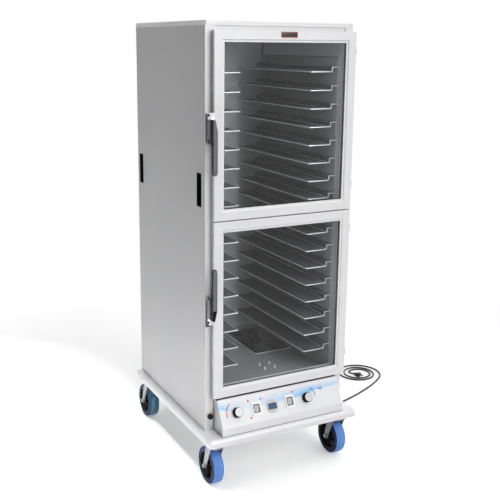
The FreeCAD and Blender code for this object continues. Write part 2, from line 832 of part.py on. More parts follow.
# Hinges: body leaf with its pin below, door leaf with its knuckle above
hinge_x = half_body + s.hinge_axis_side
hinge_y = body_front - s.hinge_axis_lead
knuckle_radius = s.knuckle_diameter / 2
hinge_pin_radius = s.hinge_pin / 2
body_leaves = []
for door_name, low, high in DOORS:
    door_leaves = []
    for spot, centre in (("low", low + s.hinge_end), ("high", high - s.hinge_end)):
        name = f"{door_name}_{spot}_hinge"
        foot = centre - s.hinge_height / 2
        head = centre + s.hinge_height / 2
        half_height = s.hinge_height / 2
        knuckle = cylinder(name + "_knuckle", (hinge_x, hinge_y, foot), knuckle_radius, half_height)
        pin = cylinder(name + "_pin", (hinge_x, hinge_y, foot), hinge_pin_radius, s.hinge_height)
        strap = box(name + "_strap", (half_body, hinge_y, foot),
                    (half_body + s.leaf_sheet, hinge_y + s.leaf_length, centre))
        upper_strap = box(name + "_upper_strap", (half_body, hinge_y + knuckle_radius, centre),
                          (half_body + s.leaf_sheet, hinge_y + s.leaf_length, head))
        clear = cylinder(name + "_clear", (hinge_x, hinge_y, centre - s.leaf_play),
                         knuckle_radius + s.leaf_play, half_height + s.leaf_play * 2)
        leaf = cut(name + "_body_leaf", fuse(name + "_body_parts", [knuckle, strap, upper_strap]), [clear])
        body_leaves.append(fuse(name + "_body_side", [leaf, pin]))
        barrel = cylinder(name + "_barrel", (hinge_x, hinge_y, centre + s.leaf_play), knuckle_radius,
                          half_height - s.leaf_play)
        wing = box(name + "_wing", (door_right, door_front, centre + s.leaf_play),
                   (half_body + s.leaf_sheet, hinge_y, head))
        bore = cylinder(name + "_bore", (hinge_x, hinge_y, foot), hinge_pin_radius + s.running_play,
                        s.hinge_height)
        door_leaves.append(cut(name + "_door_side", fuse(name + "_door_parts", [barrel, wing]), [bore]))
    gather(door_name + "_door_hinge_leaves", door_leaves)
gather("hinge_body_leaves", body_leaves)


# Lever latches. The lower one is the upper one turned over.
lever_x = -half_body + s.lever_side
lever_y = body_front - s.gasket_gap - s.gasket_thickness - s.lever_lead
latch_pin_radius = s.latch_pin / 2
LATCHES = (("upper", upper_bottom + s.upper_latch, 1), ("lower", lower_bottom + s.lower_latch, -1))
for door_name, pivot, sense in LATCHES:
    name = door_name + "_latch"
    lever_bar = profile(name + "_bar", "YZ_Plane", [
        (-s.lever_front, s.lever_end * sense), (s.lever_back - s.lever_round, s.lever_end * sense),
        (s.lever_back, (s.lever_end - s.lever_round) * sense), (s.lever_back, -s.lever_deep * sense),
        (s.lever_grip - s.lever_front, -s.lever_step * sense),
        (s.lever_grip - s.lever_front, -s.lever_grip_end * sense),
        (-s.lever_front, -s.lever_grip_end * sense)], s.lever_width)
    grip_end = -float(s.lever_grip_end) * sense
    round_edges(lever_bar, s.lever_width / 2.2, lambda edge: runs_along(edge, "y") and abs(
        level(edge, "z") - grip_end) < 0.001)
    place(lever_bar, lever_x - s.lever_width / 2, lever_y, pivot)
    slot_ends = sorted((pivot - s.lever_slot_floor * sense, pivot + s.lever_end * 2 * sense), key=float)
    slot = box(name + "_slot", (lever_x - s.lever_slot / 2, lever_y - s.lug_radius * 2, slot_ends[0]),
               (lever_x + s.lever_slot / 2, lever_y + s.lever_back, slot_ends[1]))
    lever_bore = cylinder(name + "_bore", (lever_x - s.lever_width, lever_y, pivot),
                          latch_pin_radius + s.running_play, s.lever_width * 2, "X")
    node(door_name + "_lever", cut(name + "_lever", lever_bar, [slot, lever_bore]))

    case_ends = sorted((pivot + s.case_above * sense, pivot - s.case_below * sense), key=float)
    case_block = box(name + "_block", (door_left - s.case_width, door_front - s.case_lap, case_ends[0]),
                     (door_left, door_back, case_ends[1]))
    lug_neck = box(name + "_neck", (lever_x - s.lug_width / 2, lever_y, pivot - s.lug_radius),
                   (lever_x + s.lug_width / 2, door_front, pivot + s.lug_radius))
    lug_nose = cylinder(name + "_nose", (lever_x - s.lug_width / 2, lever_y, pivot), s.lug_radius,
                        s.lug_width, "X")
    latch_pin = cylinder(name + "_pin", (lever_x - s.lever_width / 2, lever_y, pivot), latch_pin_radius,
                         s.lever_width, "X")
    node(door_name + "_latch_case", fuse(name + "_case", [case_block, lug_neck, lug_nose, latch_pin]))


# Strikes on the left stile, and the screws
strikes = []
for i, height in enumerate(strike_heights):
    bar = box(f"strike_bar{i}", (strike_x - s.strike_width / 2, body_front - s.strike_thickness,
                                 height - s.strike_length / 2),
              (strike_x + s.strike_width / 2, body_front, height + s.strike_length / 2))
    bores = [cylinder(f"strike_bore{i}{j}", (strike_x, body_front - s.strike_thickness, z),
                      s.screw_diameter / 2, s.strike_thickness, "Y")
             for j, (x, z) in enumerate(screw_spots[2 * i:2 * i + 2])]
    strikes.append(cut(f"strike{i}", bar, bores))
gather("latch_strikes", strikes)

screws = []
for i, (x, z) in enumerate(screw_spots):
    seat = body_front - s.strike_thickness
    shank = cylinder(f"screw_shank{i}", (x, seat, z), s.screw_diameter / 2,
                     s.strike_thickness + s.stile_depth / 2, "Y")
    head = cylinder(f"screw_head{i}", (x, seat - s.screw_head_height, z), s.screw_head / 2,
                    s.screw_head_height, "Y")
    screws.append(fuse(f"screw{i}", [shank, head]))
for side_name, side in SIDES:
    x = thumb_x * side
    shank = cylinder(side_name + "_thumb_shank", (x, body_front, thumb_height), s.screw_diameter / 2,
                     s.stile_depth / 2, "Y")
    head = cylinder(side_name + "_thumb_head", (x, body_front - s.thumb_screw_height, thumb_height),
                    s.thumb_screw_head / 2, s.thumb_screw_height, "Y")
    screws.append(fuse(side_name + "_thumb_screw", [shank, head]))
gather("mounting_screws", screws)


# Casters
swivels = [(f"{end}_{side_name}", caster_side * side, y)
           for end, y in (("front", base_front + s.caster_front_inset),
                          ("rear", base_back - s.caster_rear_inset))
           for side_name, side in SIDES]
axle_height = s.wheel_diameter / 2
plate_low = s.caster_height - s.plate_thickness
race_low = plate_low - s.race_height
crown_top = race_low - s.leaf_play
crown_low = crown_top - s.crown_thickness
pin_low = crown_low - s.leaf_play - s.nut_height
nut_top = crown_low - s.leaf_play
tyre_inner = s.wheel_diameter / 2 - s.tyre_thickness
half_wheel = s.wheel_width / 2
half_hub = s.hub_width / 2
half_web = s.hub_web / 2
rim_inner = tyre_inner - s.hub_rim
axle_radius = s.axle_diameter / 2
leg_in = half_hub + s.fork_play
leg_out = leg_in + s.fork_sheet
kingpin_radius = s.kingpin_diameter / 2
tyre_outer = s.wheel_diameter / 2

tyre_master = revolve("tyre_master", rectangle((tyre_inner, -half_wheel), (tyre_outer, half_wheel)))
doc.recompute()
round_edges(tyre_master, s.tyre_round, lambda edge: len(edge.Vertexes) == 1
            and abs(edge.Curve.Radius - float(tyre_outer)) < 0.001)
hub_master = revolve("hub_master", [
    (axle_radius + s.running_play, -half_hub), (s.hub_boss, -half_hub), (s.hub_boss, -half_web),
    (rim_inner, -half_web), (rim_inner, -half_wheel), (tyre_inner, -half_wheel), (tyre_inner, half_wheel),
    (rim_inner, half_wheel), (rim_inner, half_web), (s.hub_boss, half_web), (s.hub_boss, half_hub),
    (axle_radius + s.running_play, half_hub)])
top_master = revolve("race_master", [
    (0, pin_low), (s.kingpin_nut, pin_low), (s.kingpin_nut, nut_top), (kingpin_radius, nut_top),
    (kingpin_radius, race_low), (s.race_diameter / 2, race_low), (s.race_diameter / 2, plate_low),
    (0, plate_low)])
plate_master = profile("plate_master", "XY_Plane", rectangle(
    (-s.plate_width / 2, -s.plate_length / 2), (s.plate_width / 2, s.plate_length / 2)), s.plate_thickness)
round_edges(plate_master, s.plate_corner, lambda edge: runs_along(edge, "z"))
place(plate_master, 0, 0, plate_low)
mount_master = fuse("mount_master", [top_master, plate_master])

fork_pieces = [cylinder("crown", (0, 0, crown_low), s.crown_diameter / 2, s.crown_thickness)]
fork_pieces.append(box("yoke", (-leg_out, -s.fork_lead, crown_low),
                       (leg_out, s.fork_top - s.fork_lead, crown_low + s.crown_thickness)))
fork_tools = [cylinder("kingpin_bore", (0, 0, crown_low), kingpin_radius + s.running_play,
                       s.crown_thickness)]
for side_name, start in (("left", -leg_out), ("right", leg_in)):
    leg = profile(side_name + "_leg", "YZ_Plane", [
        (-s.fork_lead, crown_low + s.crown_thickness), (s.fork_top - s.fork_lead, crown_low + s.crown_thickness),
        (s.caster_trail + s.fork_boss, axle_height), (s.caster_trail - s.fork_boss, axle_height)], s.fork_sheet)
    fork_pieces.append(place(leg, start, 0, 0))
    fork_pieces.append(cylinder(side_name + "_boss", (start, s.caster_trail, axle_height), s.fork_boss,
                                s.fork_sheet, "X"))
fork_tools.append(cylinder("axle_bore", (-leg_out, s.caster_trail, axle_height), axle_radius,
                           leg_out * 2, "X"))
fork_master = cut("fork_master", fuse("fork_parts", fork_pieces), fork_tools)
head_out = leg_out + s.axle_head_height
axle_master = revolve("axle_master", [
    (0, -head_out), (s.axle_head, -head_out), (s.axle_head, -leg_out), (axle_radius, -leg_out),
    (axle_radius, leg_out), (s.axle_head, leg_out), (s.axle_head, head_out), (0, head_out)])
doc.recompute()

mounts = []
for caster_name, x, y in swivels:
    spot = Vector(float(x), float(y), 0)
    hung = Placement(spot, Rotation())
    turned = Placement(spot + Vector(0, float(s.caster_trail), float(axle_height)), TURNED["X"])
    mounts.append(moved(mount_master.Shape, hung))
    fork_set = [moved(fork_master.Shape, hung), moved(axle_master.Tip.Shape, turned)]
    node(caster_name + "_fork", solid(caster_name + "_fork_set", Part.makeCompound(fork_set)))
    node(caster_name + "_hub", solid(caster_name + "_hub_copy", hub_master.Tip.Shape, turned))
    node(caster_name + "_tyre", solid(caster_name + "_tyre_copy", tyre_master.Tip.Shape, turned))
node("caster_plates", solid("caster_mounts", Part.makeCompound(mounts)))


# Control housing: a sheet cowl standing on the deck, its sloped face carrying the controls
lip_y = body_front - s.housing_foot
brow_y = body_front - s.housing_brow
knee_height = deck_top + s.housing_lip
brow_height = deck_top + s.housing_top
housing_half = inner_half - s.housing_inset
housing_width = housing_half * 2
rise_y = float(brow_y - lip_y)
rise_z = float(brow_height - knee_height)
slope_length = math.hypot(rise_y, rise_z)
slope_turn = Rotation(X_AXIS, math.degrees(math.atan2(rise_z, rise_y)))
slope_origin = Vector(0, float(brow_y), float(brow_height))


def on_slope(side, row, out=0):
    """A placement on the sloped face: across, down from its top edge, and out from it."""
    offset = slope_turn.multVec(Vector(float(side), -float(row), float(out)))
    return Placement(slope_origin + offset, slope_turn)


def slope_box(name, side, row, width, height, low, high):
    """A block centred on a spot of the sloped face, from a low to a high distance out of it."""
    obj = box(name, (0, 0, 0), (width, height, as_size(high) - low))
    obj.setExpression("Placement.Base.x", None)
    obj.setExpression("Placement.Base.y", None)
    obj.setExpression("Placement.Base.z", None)
    obj.Placement = on_slope(side - width / 2, row + height / 2, low)
    return obj


def slope_round(name, side, row, radius, low, high):
    obj = doc.addObject("Part::Cylinder", name)
    bind(obj, "Radius", radius)
    bind(obj, "Height", as_size(high) - low)
    obj.Placement = on_slope(side, row, low)
    return obj


cowl = profile("cowl", "YZ_Plane", [
    (lip_y, deck_top), (lip_y, knee_height), (brow_y, brow_height),
    (body_front + s.stile_depth, brow_height), (body_front + s.stile_depth, deck_top)], housing_width)
doc.recompute()
cowl_pad = cowl.Tip
cowl_open = [f"Face{i}" for i, face in enumerate(cowl_pad.Shape.Faces, start=1)
             if face.BoundBox.ZMax < float(deck_top) + 0.001
             or face.BoundBox.YMin > float(body_front + s.stile_depth) - 0.001]
cowl_skin = cowl.newObject("PartDesign::Thickness", "cowl_skin")
cowl_skin.Base = (cowl_pad, cowl_open)
bind(cowl_skin, "Value", s.housing_sheet)
cowl_skin.Reversed = True
place(cowl, -housing_width / 2, 0, 0)

KNOBS = (("temperature", s.left_knob_side), ("humidity", s.right_knob_side))
SWITCHES = (("left", s.left_switch_side), ("right", s.right_switch_side))
LIGHTS = ((s.left_light_side, s.upper_light_row), (s.left_light_side, s.lower_light_row),
          (s.right_light_side, s.upper_light_row))
row = s.control_row
reach = s.housing_sheet * 2
sleeve_under = -(s.sleeve_depth - s.bezel_flange)
shaft_radius = s.shaft_diameter / 2


def panel_holes(prefix):
    """The openings that the cowl and its faceplate share."""
    holes = []
    for knob_name, side in KNOBS:
        holes.append(slope_round(f"{prefix}_{knob_name}", side, row, shaft_radius + s.knob_play, -reach, reach))
    for switch_name, side in SWITCHES:
        holes.append(slope_box(f"{prefix}_{switch_name}", side, row, s.sleeve_width, s.sleeve_height,
                               -reach, reach))
    holes.append(slope_box(f"{prefix}_display", s.display_side, s.display_row, s.window_width,
                           s.window_height, -reach, reach))
    for i, (side, down) in enumerate(LIGHTS):
        holes.append(slope_round(f"{prefix}_light{i}", side, down, s.light_stem / 2, -reach, reach))
    return holes


brow_lip = box("brow_lip", (-housing_half, brow_y, brow_height - s.housing_sheet),
               (housing_half, brow_y + s.housing_sheet, brow_height + s.housing_brow_lip))
node("control_housing", cut("housing", fuse("lipped_cowl", [cowl, brow_lip]), panel_holes("cowl")))
plate_width = housing_width - s.faceplate_margin * 2
plate_height = slope_length - 2 * float(s.faceplate_margin)
face_blank = slope_box("face_blank", as_size(0), as_size(slope_length / 2), plate_width, as_size(plate_height),
                       0, s.faceplate_sheet)
node("control_faceplate", cut("faceplate", face_blank, panel_holes("face")))

thermostats = []
face = s.faceplate_sheet
for knob_name, side in KNOBS:
    case = slope_box(knob_name + "_case", side, row, s.thermostat_width, s.thermostat_height,
                     -s.housing_sheet - s.thermostat_depth, -s.housing_sheet)
    shaft = slope_round(knob_name + "_shaft", side, row, shaft_radius, -s.housing_sheet, s.shaft_length)
    thermostats.append(fuse(knob_name + "_thermostat", [case, shaft]))
gather("control_thermostats", thermostats)

knob_low = face + s.knob_play
knob_roof = knob_low + s.knob_height
cap_roof = knob_roof - s.knob_cap_height
bore_top = s.shaft_length + s.knob_play
for knob_name, side in KNOBS:
    bore = shaft_radius + s.running_play
    turned = revolve(knob_name + "_knob_body", [
        (bore, knob_low), (s.knob_diameter / 2, knob_low), (s.knob_diameter / 2, knob_low + s.knob_skirt / 2),
        (s.knob_grip / 2, knob_low + s.knob_skirt), (s.knob_grip / 2, knob_roof),
        (s.knob_cap / 2, knob_roof), (s.knob_cap / 2, cap_roof), (0, cap_roof), (0, bore_top), (bore, bore_top)])
    cap_disc = revolve(knob_name + "_knob_cap", [
        (0, cap_roof), (s.knob_cap / 2, cap_roof), (s.knob_cap / 2, knob_roof), (0, knob_roof)])
    doc.recompute()
    whole = Part.makeCompound([turned.Tip.Shape, cap_disc.Tip.Shape])
    node(knob_name + "_knob", solid(knob_name + "_knob_set", whole, on_slope(side, row)))

bezels = []
bezel_top = face + s.bezel_flange
for switch_name, side in SWITCHES:
    flange = slope_box(switch_name + "_flange", side, row, s.bezel_width, s.bezel_height, face, bezel_top)
    sleeve = slope_box(switch_name + "_sleeve", side, row, s.sleeve_width, s.sleeve_height, sleeve_under, face)
    well = slope_box(switch_name + "_well", side, row, s.rocker_width + s.knob_play * 2,
                     s.rocker_height + s.knob_play * 2, sleeve_under + s.housing_sheet, bezel_top)
    pin = slope_round(switch_name + "_rocker_pin", side, row, s.rocker_pin / 2, 0, s.sleeve_width)
    pin.Placement = Placement(on_slope(side - s.sleeve_width / 2, row, 0).Base, slope_turn.multiply(TURNED["X"]))
    bezels.append(fuse(switch_name + "_bezel", [cut(switch_name + "_frame", fuse(
        switch_name + "_frame_block", [flange, sleeve]), [well]), pin]))
gather("switch_bezels", bezels)

half_rocker = s.rocker_height / 2
rocker_top = bezel_top + s.knob_play
swing = math.radians(float(s.rocker_tilt))
low_edge = rocker_top - s.bezel_flange
for switch_name, side in SWITCHES:
    bar = profile(switch_name + "_rocker_bar", "YZ_Plane", [
        (-half_rocker * 0.93, low_edge), (half_rocker * 0.93, low_edge), (half_rocker * 0.93, rocker_top + 1),
        (0, rocker_top - 1), (-half_rocker * 0.93, rocker_top + 1)], s.rocker_width)
    stem = profile(switch_name + "_rocker_stem", "YZ_Plane", [
        (-s.rocker_pin, -s.rocker_pin), (s.rocker_pin, -s.rocker_pin), (s.rocker_pin, low_edge),
        (-s.rocker_pin, low_edge)], s.rocker_width)
    bore = cylinder(switch_name + "_rocker_bore", (0, 0, 0), s.rocker_pin / 2 + s.running_play,
                    s.rocker_width, "X")
    rocker = cut(switch_name + "_rocker_cut", fuse(switch_name + "_rocker_parts", [bar, stem]), [bore])
    tilt = Rotation(X_AXIS, float(s.rocker_tilt))
    rocker.Placement = Placement(on_slope(side - s.rocker_width / 2, row).Base, slope_turn.multiply(tilt))
    node(switch_name + "_rocker", rocker)

ring = slope_round("display_ring", s.display_side, s.display_row, s.display_diameter / 2, face,
                   face + s.display_flange)
ring_hole = slope_box("display_hole", s.display_side, s.display_row, s.window_width, s.window_height, 0,
                      face + s.display_flange)
node("display_bezel", cut("display_frame", ring, [ring_hole]))
node("display_window", slope_box("window", s.display_side, s.display_row, s.window_width, s.window_height,
                                 face - s.window_depth, face + s.display_flange / 2))

lights = []
for i, (side, down) in enumerate(LIGHTS):
    stem = slope_round(f"light_stem{i}", side, down, s.light_stem / 2, -reach, face)
    lens = slope_round(f"light_lens{i}", side, down, s.light_diameter / 2, face, face + s.light_height)
    lights.append(fuse(f"light{i}", [stem, lens]))
gather("indicator_lights", lights)


def pipe(points_and_arcs, radius):
    """A round tube along joined straight and curved edges."""
    path = Part.Wire(points_and_arcs)
    first = points_and_arcs[0]
    start = first.valueAt(first.FirstParameter)
    heading = first.tangentAt(first.FirstParameter)
    ring_edge = Part.Circle(start, heading, radius).toShape()
    return path.makePipeShell([Part.Wire([ring_edge])], True, False)


def rounded_path(points):
    """Straight runs through hand-chosen points, joined by tangent arcs. Returns edges and radii."""
    edges = []
    radii = []
    start = points[0]
    for before, corner, after in zip(points, points[1:], points[2:]):
        way_in = (corner - before).normalize()
        way_out = (after - corner).normalize()
        half_turn = way_in.getAngle(way_out) / 2
        trim = 0.45 * min((corner - before).Length, (after - corner).Length)
        radius = trim / math.tan(half_turn)
        arc_start = corner - way_in * trim
        arc_end = corner + way_out * trim
        toward = (way_out - way_in).normalize()
        centre = corner + toward * (radius / math.cos(half_turn))
        middle = centre - toward * radius
        edges.append(Part.LineSegment(start, arc_start).toShape())
        edges.append(Part.Arc(arc_start, middle, arc_end).toShape())
        radii.append(radius)
        start = arc_end
    edges.append(Part.LineSegment(start, points[-1]).toShape())
    return edges, radii


def check_tube(name, shape, edges, diameter):
    length = sum(edge.Length for edge in edges)
    wanted = math.pi * diameter ** 2 / 4 * length
    assert abs(shape.Volume / wanted - 1) < 0.02, (name, shape.Volume, wanted)
    return length


# Heating element: a hairpin tube round the pan's funnel, its ends in a block on the deck
element_z = float(deck_top + s.element_rise)
element_radius = float(s.element_diameter) / 2
bend = float(s.element_width) / 2
element_front = float(pan_y - half_pan_length)
element_back = element_front + float(s.element_length) - bend
element_x = float(pan_x)
element_edges = [
    Part.LineSegment(Vector(element_x - bend, element_front, element_z),
                     Vector(element_x - bend, element_back, element_z)).toShape(),
    Part.Arc(Vector(element_x - bend, element_back, element_z),
             Vector(element_x, element_back + bend, element_z),
             Vector(element_x + bend, element_back, element_z)).toShape(),
    Part.LineSegment(Vector(element_x + bend, element_back, element_z),
                     Vector(element_x + bend, element_front, element_z)).toShape(),
]
element_tube = pipe(element_edges, element_radius)
check_tube("element", element_tube, element_edges, float(s.element_diameter))
block = box("element_block_box", (pan_x - s.element_width / 2 - s.element_block / 2,
                                  pan_y - half_pan_length - s.element_block, deck_top),
            (pan_x + s.element_width / 2 + s.element_block / 2, pan_y - half_pan_length,
             deck_top + s.element_rise + s.element_block / 2))
gather("heating_element", [solid("element_tube", element_tube), block])


# Cord gland on the back panel
gland_y = body_back
gland = revolve("gland_body", [
    (s.cord_diameter / 2, -s.outer_skin), (s.gland_nose / 2, -s.outer_skin), (s.gland_nose / 2, 0),
    (s.gland_flange / 2, 0), (s.gland_flange / 2, s.gland_plate), (s.gland_nose / 2, s.gland_plate),
    (s.cord_diameter, s.gland_length), (s.cord_diameter / 2, s.gland_length)])
gland.Placement = Placement(Vector(), TURNED["Y"])
node("cord_gland", place(gland, s.gland_side, gland_y, gland_height))


# Power cord: down behind the cabinet, under it between the casters and out to the right
cord_radius = float(s.cord_diameter) / 2
exit_x = float(s.gland_side)
exit_y = float(gland_y + s.gland_length)
exit_z = float(gland_height)
back = float(body_back)
CORD_DROP = [(0, 38, -3), (0, 70, -38), (0, 78, -104), (0, 72, -178), (0, 52, -244), (-1, 14, -287)]
CORD_FLOOR = [(84, 350), (86, 285), (98, 222), (126, 164), (170, 114), (226, 75), (292, 47), (364, 30),
              (440, 25), (516, 30), (592, 44), (666, 64), (738, 89), (808, 117), (876, 148), (940, 182),
              (996, 219)]
cord_points = [Vector(exit_x, exit_y, exit_z)]
for dx, dy, dz in CORD_DROP:
    cord_points.append(Vector(exit_x + dx, back + dy + float(s.gland_length), exit_z + dz))
for x, y in CORD_FLOOR:
    cord_points.append(Vector(x, y, cord_radius))
cord_edges, cord_radii = rounded_path(cord_points)
cord_shape = pipe(cord_edges, cord_radius)
cord_length = check_tube("cord", cord_shape, cord_edges, float(s.cord_diameter))
assert min(cord_radii) > cord_radius * 4, "the cord bends too tightly"
node("power_cord", solid("cord", cord_shape))


def biarc(p0, t0, p1, t1):
    """Two tangent arcs from a point and heading to another."""
    span = p1 - p0
    turn = t0 + t1
    lead = span.dot(turn)
    bend_left = 2 * (1 - t0.dot(t1))
    reach_out = (math.sqrt(lead ** 2 + bend_left * span.dot(span)) - lead) / bend_left
    joint = (p0 + p1 + (t0 - t1) * reach_out) * 0.5
    edges = []
    for start, heading, end in ((p0, t0, joint), (p1, -t1, joint)):
        chord = end - start
        normal = chord - heading * chord.dot(heading)
        curve = chord.dot(chord) / (2 * chord.dot(normal.normalize()))
        centre = start + normal * curve
        out = ((start - centre) + (end - centre)).normalize()
        middle = centre + out * curve
        edges.append(Part.Arc(start, middle, end).toShape() if start is p0
                     else Part.Arc(end, middle, start).toShape())
    return edges


# Loose coil on the floor: two turns drawing in, then an inner half turn that ends in the plug
COIL_CENTRE = (940, 338)
COIL_OUTER = 128
COIL_INNER = 70
COIL_TAIL = 52
COIL_START = -46
COIL_TURNED = 720
COIL_LAST = 150
COIL_STEP = 30
PLUG_HEADING = 302
PLUG_ENTRY = (905.5, 334.5, 9.5)


def coil_point(turned):
    """The spiral after a number of degrees, with its heading, in the floor's plane."""
    def radius_at(angle):
        if angle <= COIL_TURNED:
            left = 1 - angle / COIL_TURNED
            return COIL_INNER + (COIL_OUTER - COIL_INNER) * left ** 1.5
        along = (angle - COIL_TURNED) / COIL_LAST
        return COIL_INNER + (COIL_TAIL - COIL_INNER) * along * along * (3 - 2 * along)

    def spot(angle):
        theta = math.radians(COIL_START + angle)
        return Vector(COIL_CENTRE[0] + radius_at(angle) * math.cos(theta),
                      COIL_CENTRE[1] + radius_at(angle) * math.sin(theta), cord_radius)

    small = 0.01
    heading = (spot(turned + small) - spot(turned - small)).normalize()
    return spot(turned), heading


coil_edges = []
coil_stations = [coil_point(step) for step in range(0, COIL_TURNED + COIL_LAST + 1, COIL_STEP)]
lead_from = cord_points[-1]
lead_way = (cord_points[-1] - cord_points[-2]).normalize()
coil_edges += biarc(lead_from, lead_way, *coil_stations[0])
for (p0, t0), (p1, t1) in zip(coil_stations, coil_stations[1:]):
    coil_edges += biarc(p0, t0, p1, t1)
tail_point, tail_way = coil_stations[-1]
plug_way = Rotation(Z_AXIS, PLUG_HEADING).multVec(X_AXIS)
plug_entry = Vector(*PLUG_ENTRY)
coil_edges += biarc(tail_point, tail_way, plug_entry, plug_way)
straight_end = plug_entry + plug_way * float(s.cord_diameter)
coil_edges.append(Part.LineSegment(plug_entry, straight_end).toShape())
coil_shape = pipe(coil_edges, cord_radius)
coil_length = check_tube("coil", coil_shape, coil_edges, float(s.cord_diameter))
samples = [point for edge in coil_edges for point in edge.discretize(Distance=6)]
apart = min((a - b).Length for i, a in enumerate(samples) for b in samples[i + 12:])
assert apart > cord_radius * 2, "the coil runs into itself"
node("power_cord_coil", solid("coil", coil_shape))


# Plug: a rounded body with two flat pins
plug_body = profile("plug_block", "XZ_Plane", rectangle(
    (-s.plug_width / 2, -s.plug_height / 2), (s.plug_width / 2, s.plug_height / 2)), s.plug_length)
round_edges(plug_body, s.plug_round, lambda edge: runs_along(edge, "y"))
doc.recompute()
plug_turn = Rotation(Y_AXIS, plug_way)
plug_place = Placement(straight_end, plug_turn)
node("plug_body", solid("plug", plug_body.Tip.Shape, plug_place))
pins = []
for half in (-0.5, 0.5):
    blade = Part.makeBox(float(s.pin_thickness), float(s.pin_length), float(s.pin_width),
                         Vector(float(s.pin_spread) * half - float(s.pin_thickness) / 2,
                                float(s.plug_length), -float(s.pin_width) / 2))
    pins.append(blade)
node("plug_pins", solid("pins", Part.makeCompound(pins), plug_place))


# Checks on every feature, then one file for each piece
doc.recompute()
for obj in doc.Objects:
    assert not {"Invalid", "Error"} & set(obj.State), (obj.Name, obj.State)
os.makedirs("parts", exist_ok=True)
for label, obj in nodes.items():
    assert not obj.Shape.isNull() and obj.Shape.isValid(), label
    assert obj.Shape.Solids, label
    obj.Shape.exportStep(f"parts/{label}.step")
print(len(nodes), "pieces written")
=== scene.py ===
import json
import math

